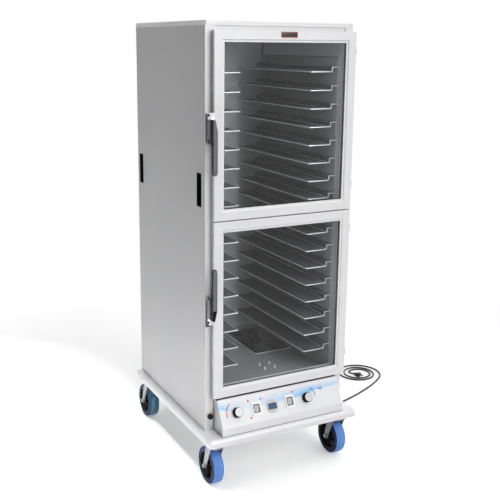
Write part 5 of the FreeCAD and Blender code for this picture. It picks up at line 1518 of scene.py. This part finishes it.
# Profiles of the rings round a door: (inwards from the outer edge, out from the back) in millimetres
FRAME_PROFILE = ((0.0, 0.6), (0.0, 17.0), (0.3, 17.7), (1.0, 18.0), (33.8, 18.0), (34.4, 17.7),
                 (38.2, 13.5), (38.9, 13.2), (45.2, 13.0), (46.0, 12.3), (46.0, 10.3), (36.9, 10.3),
                 (36.9, 4.7), (46.0, 4.7), (46.0, 0.6), (45.4, 0.0), (0.6, 0.0))
GASKET_PROFILE = ((2.0, 10.7), (0.6, 9.6), (0.0, 7.4), (0.6, 5.0), (2.0, 3.6), (2.0, 1.4), (3.2, 0.0),
                  (12.8, 0.0), (14.0, 1.4), (14.0, 3.6), (15.4, 5.0), (16.0, 7.4), (15.4, 9.6),
                  (14.0, 10.7))
BEAD_PROFILES = (((45.9, 10.4), (45.9, 12.7), (46.4, 13.0), (47.0, 12.2), (47.3, 10.4)),
                 ((45.9, 4.6), (47.6, 4.6), (47.6, 2.6), (46.9, 0.3), (45.9, 0.3)))
# The badge: width of its rim, and how deep its field lies
BADGE_RIM = 2.4 * MM
BADGE_DEPTH = 0.7 * MM


class CABINET_OT_doors(bpy.types.Operator):
    """Makes the two door frames, their panes and gaskets, and the bare badge"""

    bl_idname = "cabinet.doors"
    bl_label = "Doors"

    def ring(self, node, profile):
        """A mitred ring round a door, with the profile all along it."""
        low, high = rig.box(node)
        half_x = (high.x - low.x) / 2
        half_z = (high.z - low.z) / 2
        loops = [(half_x - inset * MM, half_z - inset * MM, out * MM) for inset, out in profile]
        obj = skin(loops, ends=False)
        close_ring(obj)
        centre = Vector(((low.x + high.x) / 2, high.y, (low.z + high.z) / 2))
        return settle(obj, frame_matrix(centre, X_AXIS, Z_AXIS))

    def execute(self, context):
        for door in DOORS:
            node = door + "_door_frame"
            body = door + "_door"
            rails = smooth(self.ring(node, FRAME_PROFILE), 20)
            piece(rails, door + "_frame_rails", body, "frame_white", frame_white(), node)
            low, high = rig.box(node)
            # Painted shade: the frame's outer side faces take the darker side finish
            second_finish(rails, door_side_shade(), lambda face: 0.2 * MM > min(
                face.center.x - low.x, high.x - face.center.x,
                face.center.z - low.z, high.z - face.center.z))
            gasket = smooth(self.ring(door + "_door_gasket", GASKET_PROFILE), 50)
            piece(gasket, door + "_seal", body, "gasket_rubber", rubber_grey(), door + "_door_gasket")
            finish_node(door + "_door_pane", clear_pane())
            # Painted shadow: a black bead round each pane, partly a glazing seal and partly for the shadow line at the
            # glass's edge
            bead = smooth(joined([self.ring(node, profile) for profile in BEAD_PROFILES]), 50)
            piece(bead, door + "_glazing_bead", body, "gasket_rubber", lever_black())
        self.badge()
        return {"FINISHED"}

    def badge(self):
        """A bare plate with a raised rim round a dark field."""
        low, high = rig.box("badge_plate")
        badge = block(low, high)
        edit(badge)
        bpy.ops.mesh.select_all(action="DESELECT")
        done()
        for face in badge.data.polygons:
            face.select = face.normal.y < -0.9
        edit_faces(badge)
        bpy.ops.mesh.inset(thickness=BADGE_RIM)
        bpy.ops.transform.translate(value=(0, BADGE_DEPTH, 0))
        done()
        ease(badge, 0.4 * MM, 2, 40)
        smooth(badge)
        piece(badge, "badge_blank", "upper_door", "badge_dark", badge_rim(), "badge_plate")
        inset = 2.6 * MM
        field = block((low.x + inset, low.y + 0.55 * MM, low.z + inset),
                      (high.x - inset, low.y + 1.1 * MM, high.z - inset))
        ease(field, 0.2 * MM)
        piece(smooth(field), "badge_field", "upper_door", "badge_dark", badge_dark())


# Hinges, latches, screws and hand grips

def screw_head(radius, height, steps=28):
    """A domed head with a cross recess."""
    loops = [(radius, 0.0), (radius, height * 0.35), (radius * 0.93, height * 0.62),
             (radius * 0.74, height * 0.87), (radius * 0.45, height)]
    obj = skin([(r, r, z) for r, z in loops], steps)
    long, short = radius * 0.55, radius * 0.12
    for wide, deep in ((long, short), (short, long)):
        cut(obj, block((-wide, -deep, height * 0.45), (wide, deep, height * 1.5)))
    return smooth(obj, 35)


# Hinge leaves: their edge, how far they stand from the door's ends, and their face before the wall
LEAF_EDGE = 0.4 * MM
LEAF_INSET = 90 * MM
LEAF_FACE = 1.9 * MM


class CABINET_OT_hinges(bpy.types.Operator):
    """Dresses the hinge leaves and sets their screws"""

    bl_idname = "cabinet.hinges"
    bl_label = "Hinges"

    def execute(self, context):
        dress("hinge_body_leaves", "hinge_leaves_body", "cabinet", "hinge_steel", bright_steel(), LEAF_EDGE,
              angle=40)
        head = screw_head(4.2 * MM, 1.5 * MM)
        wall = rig.box("side_outer_panels")[1].x
        pin = JOINTS["upper_door_hinge"]["pos_m"][1]
        body_screws = []
        for door in DOORS:
            dress(door + "_door_hinge_leaves", door + "_hinge_leaves", door + "_door", "hinge_steel",
                  bright_steel(), LEAF_EDGE, angle=40)
            low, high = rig.box(door + "_door_frame")
            for centre in (low.z + LEAF_INSET, high.z - LEAF_INSET):
                for rise in (-16, 16):
                    for back in (22.0, 35.0):
                        spot = Vector((wall + LEAF_FACE, pin + back * MM, centre + rise * MM))
                        body_screws.append(copy_of(head, frame_matrix(spot, Y_AXIS, Z_AXIS)))
        bpy.data.objects.remove(head)
        piece(joined(body_screws), "hinge_screws", "cabinet", "hinge_steel", bright_steel())
        return {"FINISHED"}


# A lever from its pivot end to its grip: height past the pivot, then front, back, left and right
LEVER_STATIONS = (
    (13.0, -20.6, 1.0, -9.2, -0.6), (11.2, -22.0, 5.0, -9.5, 0.2), (6.0, -22.0, 10.0, -9.5, 1.4),
    (-31.0, -22.0, 10.0, -9.5, 9.4), (-36.0, -22.0, 10.0, -9.5, 9.5), (-72.0, -22.0, 10.0, -9.5, 9.5),
    (-82.0, -22.0, 1.0, -9.5, 9.5), (-92.0, -22.0, -8.0, -9.5, 9.5), (-188.0, -22.0, -8.0, -9.5, 9.5),
    (-195.0, -21.6, -8.6, -8.6, 8.6), (-199.0, -20.4, -9.8, -6.6, 6.6), (-201.0, -18.0, -12.0, -3.6, 3.6))
# How far above its pivot the lower lever's painted sheen starts; below it the pivot end stays black as painted shade
SHEEN_START = 31 * MM
# The case's screws: how far from its back and from its ends
CASE_SCREW_BACK = 14 * MM
CASE_SCREW_END = 9 * MM


class CABINET_OT_latches(bpy.types.Operator):
    """Makes the lever handles and dresses their cases and strikes"""

    bl_idname = "cabinet.latches"
    bl_label = "Latches"

    def lever(self, door, sense):
        """A handle drawn out from its pivot end, past a deep shoulder, to a slimmer rounded grip."""
        loops = []
        for z, front, back, left, right in LEVER_STATIONS:
            loops.append(((right - left) / 2 * MM, (back - front) / 2 * MM, z * sense * MM,
                          (right + left) / 2 * MM, (back + front) / 2 * MM))
        obj = skin(loops)
        ease(obj, sizes().lever_edge, 3, 50)
        pivot = Vector(JOINTS[door + "_lever_pull"]["pos_m"])
        settle(obj, Matrix.Translation(pivot))
        ends = sorted((pivot.z - 25 * MM * sense, pivot.z + 30 * MM * sense))
        cut(obj, block((pivot.x - 5 * MM, pivot.y - 16 * MM, ends[0]),
                       (pivot.x + 5 * MM, pivot.y + 20 * MM, ends[1])))
        smooth(obj, 35)
        piece(obj, door + "_handle", door + "_lever", "lever_metal", lever_black(), door + "_lever")
        # Painted reflection: the front faces take the grey sheen, and the lower lever's pivot end stays black as
        # painted shade
        grip = pivot.z + SHEEN_START
        return second_finish(obj, lever_painted_sheen(), lambda face: face.normal.y < -0.75 and (
            sense > 0 or face.center.z > grip))

    def case(self, door, sense, head):
        """The latch case: bright past the lever's end, grey beside it, with two black screws."""
        low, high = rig.box(door + "_lever")
        end = high.z if sense > 0 else low.z
        case = dressed(door + "_latch_case", 0.9 * MM, 3, 40)
        divide(case, (0, 0, end), Z_AXIS)
        piece(case, door + "_latch_body", door + "_door", "latch_chrome", chrome(), door + "_latch_case")
        second_finish(case, strike_grey(), lambda face: (face.center.z - end) * sense < 0)
        low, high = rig.box(door + "_latch_case")
        heads = [copy_of(head, frame_matrix((low.x, high.y - CASE_SCREW_BACK, z), -Y_AXIS, Z_AXIS))
                 for z in (low.z + CASE_SCREW_END, high.z - CASE_SCREW_END)]
        piece(joined(heads), door + "_latch_screws", door + "_door", "black_plastic", lever_black())

    def execute(self, context):
        head = screw_head(5.4 * MM, 2.0 * MM)
        for door, sense in (("upper", 1), ("lower", -1)):
            self.lever(door, sense)
            self.case(door, sense, head)
        bpy.data.objects.remove(head)
        dress("latch_strikes", "strike_plates", "cabinet", "latch_chrome", strike_grey(), 0.9 * MM, 3, 40)
        return {"FINISHED"}


# A strike's length and its screws' heights on it
STRIKE_LENGTH = 108 * MM
STRIKE_SCREWS = (10 * MM, 98 * MM)
# A thumb screw: its profile, the knurls round it, and its place on the stile
THUMB_PROFILE = ((9.0, 0.0), (9.0, 2.0), (11.6, 2.6), (11.6, 11.6), (10.2, 13.2), (7.0, 13.6), (6.4, 12.6))
KNURLS = 48
KNURL_RADIUS = 11 * MM
KNURL_HEIGHT = 0.5 * MM
THUMB_INSET = 21 * MM
THUMB_RISE = 12 * MM


class CABINET_OT_fasteners(bpy.types.Operator):
    """Makes the strike screws and the knurled thumb screws"""

    bl_idname = "cabinet.fasteners"
    bl_label = "Screws"

    def execute(self, context):
        low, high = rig.box("latch_strikes")
        front = low.y
        centre_x = (low.x + high.x) / 2
        head = screw_head(5.0 * MM, 2.4 * MM)
        facing = frame_matrix((0, 0, 0), X_AXIS, Z_AXIS)
        heads = []
        for start in (low.z, high.z - STRIKE_LENGTH):
            for rise in STRIKE_SCREWS:
                spot = Vector((centre_x, front, start + rise))
                heads.append(copy_of(head, Matrix.Translation(spot) @ facing))
        bpy.data.objects.remove(head)
        grip = turned(THUMB_PROFILE, KNURLS)
        for face in grip.data.polygons:
            angle = math.atan2(face.center.y, face.center.x)
            side = abs(face.normal.z) < 0.3 and math.hypot(face.center.x, face.center.y) > KNURL_RADIUS
            face.select = side and int(round(angle / (math.tau / KNURLS) - 0.5)) % 2 == 0
        edit_faces(grip)
        bpy.ops.mesh.extrude_faces_move(TRANSFORM_OT_shrink_fatten={"value": KNURL_HEIGHT})
        done()
        smooth(grip, 35)
        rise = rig.box("mounting_screws")[0].z + THUMB_RISE
        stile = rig.box("front_stiles")
        for x in (stile[0].x + THUMB_INSET, stile[1].x - THUMB_INSET):
            heads.append(copy_of(grip, Matrix.Translation((x, stile[0].y, rise)) @ facing))
        bpy.data.objects.remove(grip)
        piece(joined(heads), "black_screws", "cabinet", "black_plastic", black_plastic(), "mounting_screws")
        return {"FINISHED"}


# A hand grip's opening, and its walls as loops of (growth of the opening, distance out of the wall)
GRIP_HALF_Y = 20.0
GRIP_HALF_Z = 66.5
GRIP_WALLS = ((-3, -25.6), (-0.6, -23.0), (-0.3, -0.2), (1.6, 0.05), (1.4, 0.5), (-1.0, 0.8), (-2.0, -0.6),
              (-2.6, -21.6), (-5, -23.8))


class CABINET_OT_hand_grips(bpy.types.Operator):
    """Makes the four recessed hand grips in the side walls"""

    bl_idname = "cabinet.hand_grips"
    bl_label = "Hand grips"

    def execute(self, context):
        cup = drawn([(GRIP_HALF_Y + grow, GRIP_HALF_Z + grow, out) for grow, out in GRIP_WALLS])
        ease(cup, 0.35 * MM, 2, 25)
        smooth(cup)
        low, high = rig.box("hand_grips")
        skin_low, skin_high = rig.box("side_outer_panels")
        cups = []
        for x, across in ((skin_low.x, -Y_AXIS), (skin_high.x, Y_AXIS)):
            for y in (low.y + GRIP_HALF_Y * MM, high.y - GRIP_HALF_Y * MM):
                spot = Vector((x, y, (low.z + high.z) / 2))
                cups.append(copy_of(cup, frame_matrix(spot, across, Z_AXIS)))
        bpy.data.objects.remove(cup)
        piece(joined(cups), "recessed_grips", "cabinet", "black_plastic", grip_black(), "hand_grips")
        return {"FINISHED"}


# Control panel

# Rows down the slope for the knobs and switches, the display, and the lights over and under a switch
ROW = 58.0 * MM
DISPLAY_ROW = 62.0 * MM
LIGHT_ROWS = (21.0 * MM, 92.3 * MM)
LIGHT_RADIUS = 4.5 * MM
# A switch: its rim and its well, as loops of (half width, half height, distance out)
SWITCH_RIM = ((22.0, 27.5, 0.0), (22.0, 27.5, 3.2), (21.2, 26.7, 4.1), (15.3, 18.3, 4.2), (14.7, 17.7, 3.6),
              (14.7, 17.7, 0.0))
SWITCH_WELL = ((14.7, 17.7, -12.0), (14.7, 17.7, 1.6), (14.2, 17.2, 2.0))
# Turned profiles of the display's surround and of a light's lens
SURROUND = ((27.7, 1.2), (27.7, 4.3), (27.3, 4.9), (26.5, 5.2))
LENS = ((4.4, 0.0), (4.4, 1.0), (4.0, 2.2), (3.1, 3.2), (1.8, 3.8), (0.6, 4.0))
LENS_STEPS = 32
# Sides of a printed round, the rows of a drop's upper quarter, and how much it narrows to its point
ROUND_SIDES = 32
DROP_ROWS = 8
DROP_TAPER = 0.75


def panel_side(node):
    return middle(node).x


class CABINET_OT_control_panel(bpy.types.Operator):
    """Dresses the control housing and makes its bezels, display, lights and printed marks"""

    bl_idname = "cabinet.control_panel"
    bl_label = "Control panel"

    def switches(self):
        """Two white frames with eased rims, each round a black well."""
        rim = smooth(close_ring(drawn(SWITCH_RIM, ends=False)))
        well = smooth(drawn(SWITCH_WELL))
        places = [panel_place(panel_side(side + "_rocker"), ROW, FACE) for side in ("left", "right")]
        rims = joined([copy_of(rim, place) for place in places])
        piece(rims, "switch_frames", "cabinet", "switch_white", switch_white(), "switch_bezels")
        # Painted shade: each key sits in a black well, for the shade in the gap round it
        wells = joined([copy_of(well, place) for place in places])
        piece(wells, "switch_wells", "cabinet", "switch_white", black_plastic())
        for spare in (rim, well):
            bpy.data.objects.remove(spare)

    def arc(self, name, centre, radius, width, start, end, material):
        """A printed stroke along part of a circle, in panel millimetres."""
        clear_selection()
        bpy.ops.mesh.primitive_circle_add(vertices=120, radius=(radius - width / 2) * MM)
        obj = bpy.context.object
        pick(obj, lambda co: not start <= math.degrees(math.atan2(co.y, co.x)) % 360 <= end)
        bpy.ops.mesh.delete(type="VERT")
        bpy.ops.mesh.select_all(action="SELECT")
        bpy.ops.mesh.extrude_edges_indiv()
        grow = (radius + width / 2) / (radius - width / 2)
        bpy.ops.transform.resize(value=(grow, grow, 1.0), center_override=(0, 0, 0))
        done()
        return self.printed(obj, name, centre, material)

    def drop(self, name, centre, radius, material, lean=1.0):
        """A printed drop: a round whose upper rows are drawn up and in to a point."""
        clear_selection()
        bpy.ops.mesh.primitive_circle_add(vertices=ROUND_SIDES, radius=radius * MM, fill_type="NGON")
        obj = bpy.context.object
        heights = [math.sin(math.tau * step / ROUND_SIDES) for step in range(1, DROP_ROWS + 1)]
        for height in heights:
            row = height * radius * MM
            narrow = 1 - DROP_TAPER * height * height
            pick(obj, lambda co: abs(co.y - row) < 0.01 * MM)
            bpy.ops.transform.resize(value=(narrow, 1.0, 1.0), center_override=(0, row, 0))
        for height in reversed(heights):
            row = height * radius * MM
            pick(obj, lambda co: abs(co.y - row) < 0.01 * MM)
            bpy.ops.transform.translate(value=(0, row * lean * height, 0))
        done()
        return self.printed(obj, name, centre, material)

    def printed(self, obj, name, centre, material):
        """A flat mark gets its thickness and its place on the panel."""
        apply_modifier(obj, "SOLIDIFY", thickness=sizes().print_height, offset=1.0)
        outward(obj)
        settle(obj, panel_place(centre[0] * MM, centre[1] * MM, FACE))
        return piece(obj, name, "cabinet", "panel_face", material)

    def seals(self):
        """A black rubber strip under the lower door, behind the cowl's lip, as painted shadow in the gap there, and a
        bead round the cowl's foot.
        """
        low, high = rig.box("control_housing")
        # Painted shadow: the black strip fills the gap under the lower door so that it reads dark
        strip = block((low.x + 2.0 * MM, PANEL_TOP.y + 1.7 * MM, PANEL_TOP.z),
                      (high.x - 2.0 * MM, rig.box("front_rails")[0].y - 1.0 * MM, high.z - 0.6 * MM))
        ease(strip, TRIM_EDGE)
        piece(smooth(strip), "sill_shadow_strip", "cabinet", "gasket_rubber", rubber_grey())
        foot = low.z + 1.3 * MM
        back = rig.box("front_stiles")[0].y
        out = 1.4 * MM
        lap = 0.2 * MM
        runs = [block((low.x - out, low.y - out, low.z), (high.x + out, low.y + lap, foot)),
                block((low.x - out, low.y, low.z), (low.x + lap, back, foot)),
                block((high.x - lap, low.y, low.z), (high.x + out, back, foot))]
        for run in runs:
            ease(run, 0.5 * MM)
        piece(smooth(joined(runs)), "cowl_foot_bead", "cabinet", "gasket_rubber", rubber_grey())

    def surround(self):
        """A flat round surround with an eased rim and a square window through it."""
        disc = turned(SURROUND, sizes().round_steps)
        cut(disc, block_mm((-20.3, -13.2, 0.0), (20.3, 13.2, 9.0)))
        ease(disc, 0.4 * MM, 2, 60)
        settle(disc, panel_place(panel_side("display_bezel"), DISPLAY_ROW))
        piece(smooth(disc), "display_surround", "cabinet", "bezel_beige", bezel_beige(), "display_bezel")

    def lights(self):
        """Three domed lenses."""
        lens = smooth(turned(LENS, LENS_STEPS), 60)
        low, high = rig.box("indicator_lights")
        left = low.x + LIGHT_RADIUS
        right = high.x - LIGHT_RADIUS
        spots = ((left, LIGHT_ROWS[0]), (left, LIGHT_ROWS[1]), (right, LIGHT_ROWS[0]))
        lenses = [copy_of(lens, panel_place(side, row, FACE)) for side, row in spots]
        bpy.data.objects.remove(lens)
        piece(joined(lenses), "indicator_lenses", "cabinet", "light_lens", lens_red(), "indicator_lights")

    def execute(self, context):
        housing = dressed("control_housing", 0.9 * MM, 2, 20)
        piece(housing, "control_cowl", "cabinet", "frame_white", frame_white(), "control_housing")
        # Painted shade: the cowl's side faces take a darker grey than the rest of the same sheet
        second_finish(housing, cowl_side_shade(), lambda face: abs(face.normal.x) > 0.8)
        self.seals()
        finish_node("control_faceplate", printed_panel())
        self.switches()
        self.surround()
        finish_node("display_window", display_blue())
        self.lights()
        self.arc("heat_scale", (-216.7, 58.0), 48.0, 5.6, 122, 201, print_red())
        self.arc("humidity_scale", (122.0, 58.0), 46.0, 4.0, 0, 57, print_navy())
        self.arc("humidity_mark", (199.0, 22.0), 11.6, 5.0, 205, 330, print_navy())
        self.drop("heat_mark", (201.5, 23.3), 3.4, print_red())
        self.drop("water_mark", (-97.7, 23.0), 4.2, print_navy())
        self.drop("warm_mark", (-82.0, 25.0), 7.0, print_pink(), 0.4)
        self.drop("warm_mark_small", (-92.5, 37.0), 3.0, print_pink(), 0.6)
        return {"FINISHED"}


# Turned profiles of a knob and of its cap, and the pointer on it
KNOB = ((19.0, 1.7), (21.3, 1.7), (21.5, 2.1), (21.5, 4.8), (20.9, 6.0), (20.2, 7.6), (19.8, 21.4),
        (19.2, 22.8), (18.0, 23.5), (10.0, 23.3))
KNOB_CAP = ((17.9, 22.6), (18.2, 23.0), (18.2, 23.8), (17.7, 24.3), (15.8, 24.4), (15.3, 24.0), (2.0, 23.95))
POINTER_LOW = (-0.9, 8.0, 23.9)
POINTER_HIGH = (0.9, 15.0, 24.35)
# A rocker key: its block, the depth of its valley and its tilt
KEY_LOW = (-11.4, -14.0, -4.0)
KEY_HIGH = (9.6, 14.0, 5.8)
KEY_VALLEY = 1.6 * MM
ROCKER_TILT = math.radians(7.0)


class CABINET_OT_knobs(bpy.types.Operator):
    """Makes the two control knobs with their pale caps"""

    bl_idname = "cabinet.knobs"
    bl_label = "Knobs"

    def execute(self, context):
        steps = sizes().round_steps
        knob = smooth(turned(KNOB, steps), 40)
        cap = smooth(turned(KNOB_CAP, steps), 30)
        pointer = smooth(ease(block_mm(POINTER_LOW, POINTER_HIGH), 0.2 * MM))
        for name in ("temperature_knob", "humidity_knob"):
            place = panel_place(panel_side(name), ROW)
            piece(copy_of(knob, place), name + "_grip", name, "black_plastic", lever_black(), name)
            piece(copy_of(cap, place), name + "_cap", name, "black_plastic", knob_cap_metal())
            piece(copy_of(pointer, place), name + "_pointer", name, "black_plastic", knob_cap_metal())
        for spare in (knob, cap, pointer):
            bpy.data.objects.remove(spare)
        return {"FINISHED"}


class CABINET_OT_rockers(bpy.types.Operator):
    """Makes the two rocker keys, each dished to a valley and tilted to one side"""

    bl_idname = "cabinet.rockers"
    bl_label = "Rockers"

    def execute(self, context):
        key = block_mm(KEY_LOW, KEY_HIGH)
        divide(key, (0, 0, 0), Y_AXIS)
        pick(key, lambda co: abs(co.y) < 0.1 * MM and co.z > 0)
        bpy.ops.transform.translate(value=(0, 0, -KEY_VALLEY))
        done()
        ease(key, sizes().moulded_edge * 0.6, 3, 10)
        smooth(key, 20)
        tilt = Matrix.Rotation(ROCKER_TILT, 4, "X")
        for side in ("left", "right"):
            rocker = side + "_rocker"
            place = panel_place(panel_side(rocker), ROW) @ tilt
            piece(copy_of(key, place), rocker + "_key", rocker, "rocker_grey", rocker_grey(), rocker)
        bpy.data.objects.remove(key)
        return {"FINISHED"}


class CABINET_PT_pieces(bpy.types.Panel):
    """Lists the cabinet's pieces and sizes"""

    bl_idname = "CABINET_PT_pieces"
    bl_label = "Holding cabinet"
    bl_space_type = "VIEW_3D"
    bl_region_type = "UI"
    bl_category = "Cabinet"

    def draw(self, context):
        layout = self.layout
        for operator in STEPS:
            layout.operator(operator.bl_idname)
        for group in (context.scene.cabinet_sizes, context.scene.cabinet_colours):
            for key in group.__annotations__:
                layout.prop(group, key)


STEPS = (CABINET_OT_stage, CABINET_OT_power_cord, CABINET_OT_casters, CABINET_OT_body,
         CABINET_OT_cavity, CABINET_OT_doors, CABINET_OT_hinges, CABINET_OT_latches,
         CABINET_OT_fasteners, CABINET_OT_hand_grips, CABINET_OT_control_panel, CABINET_OT_knobs,
         CABINET_OT_rockers)
CLASSES = (CabinetSizes, CabinetColours, *STEPS, CABINET_PT_pieces)


def register():
    for cls in CLASSES:
        bpy.utils.register_class(cls)
    bpy.types.Scene.cabinet_sizes = bpy.props.PointerProperty(type=CabinetSizes)
    bpy.types.Scene.cabinet_colours = bpy.props.PointerProperty(type=CabinetColours)


def unregister():
    del bpy.types.Scene.cabinet_colours
    del bpy.types.Scene.cabinet_sizes
    for cls in reversed(CLASSES):
        bpy.utils.unregister_class(cls)


def main():
    register()
    for operator in STEPS:
        group, name = operator.bl_idname.split(".")
        getattr(getattr(bpy.ops, group), name)()
    clear_selection()
    seen = [list(corner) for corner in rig.bounds()]
    with open("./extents.json", "w") as out:
        json.dump({"cad": CAD_BOX, "visual": seen}, out)


if __name__ == "__main__":
    main()
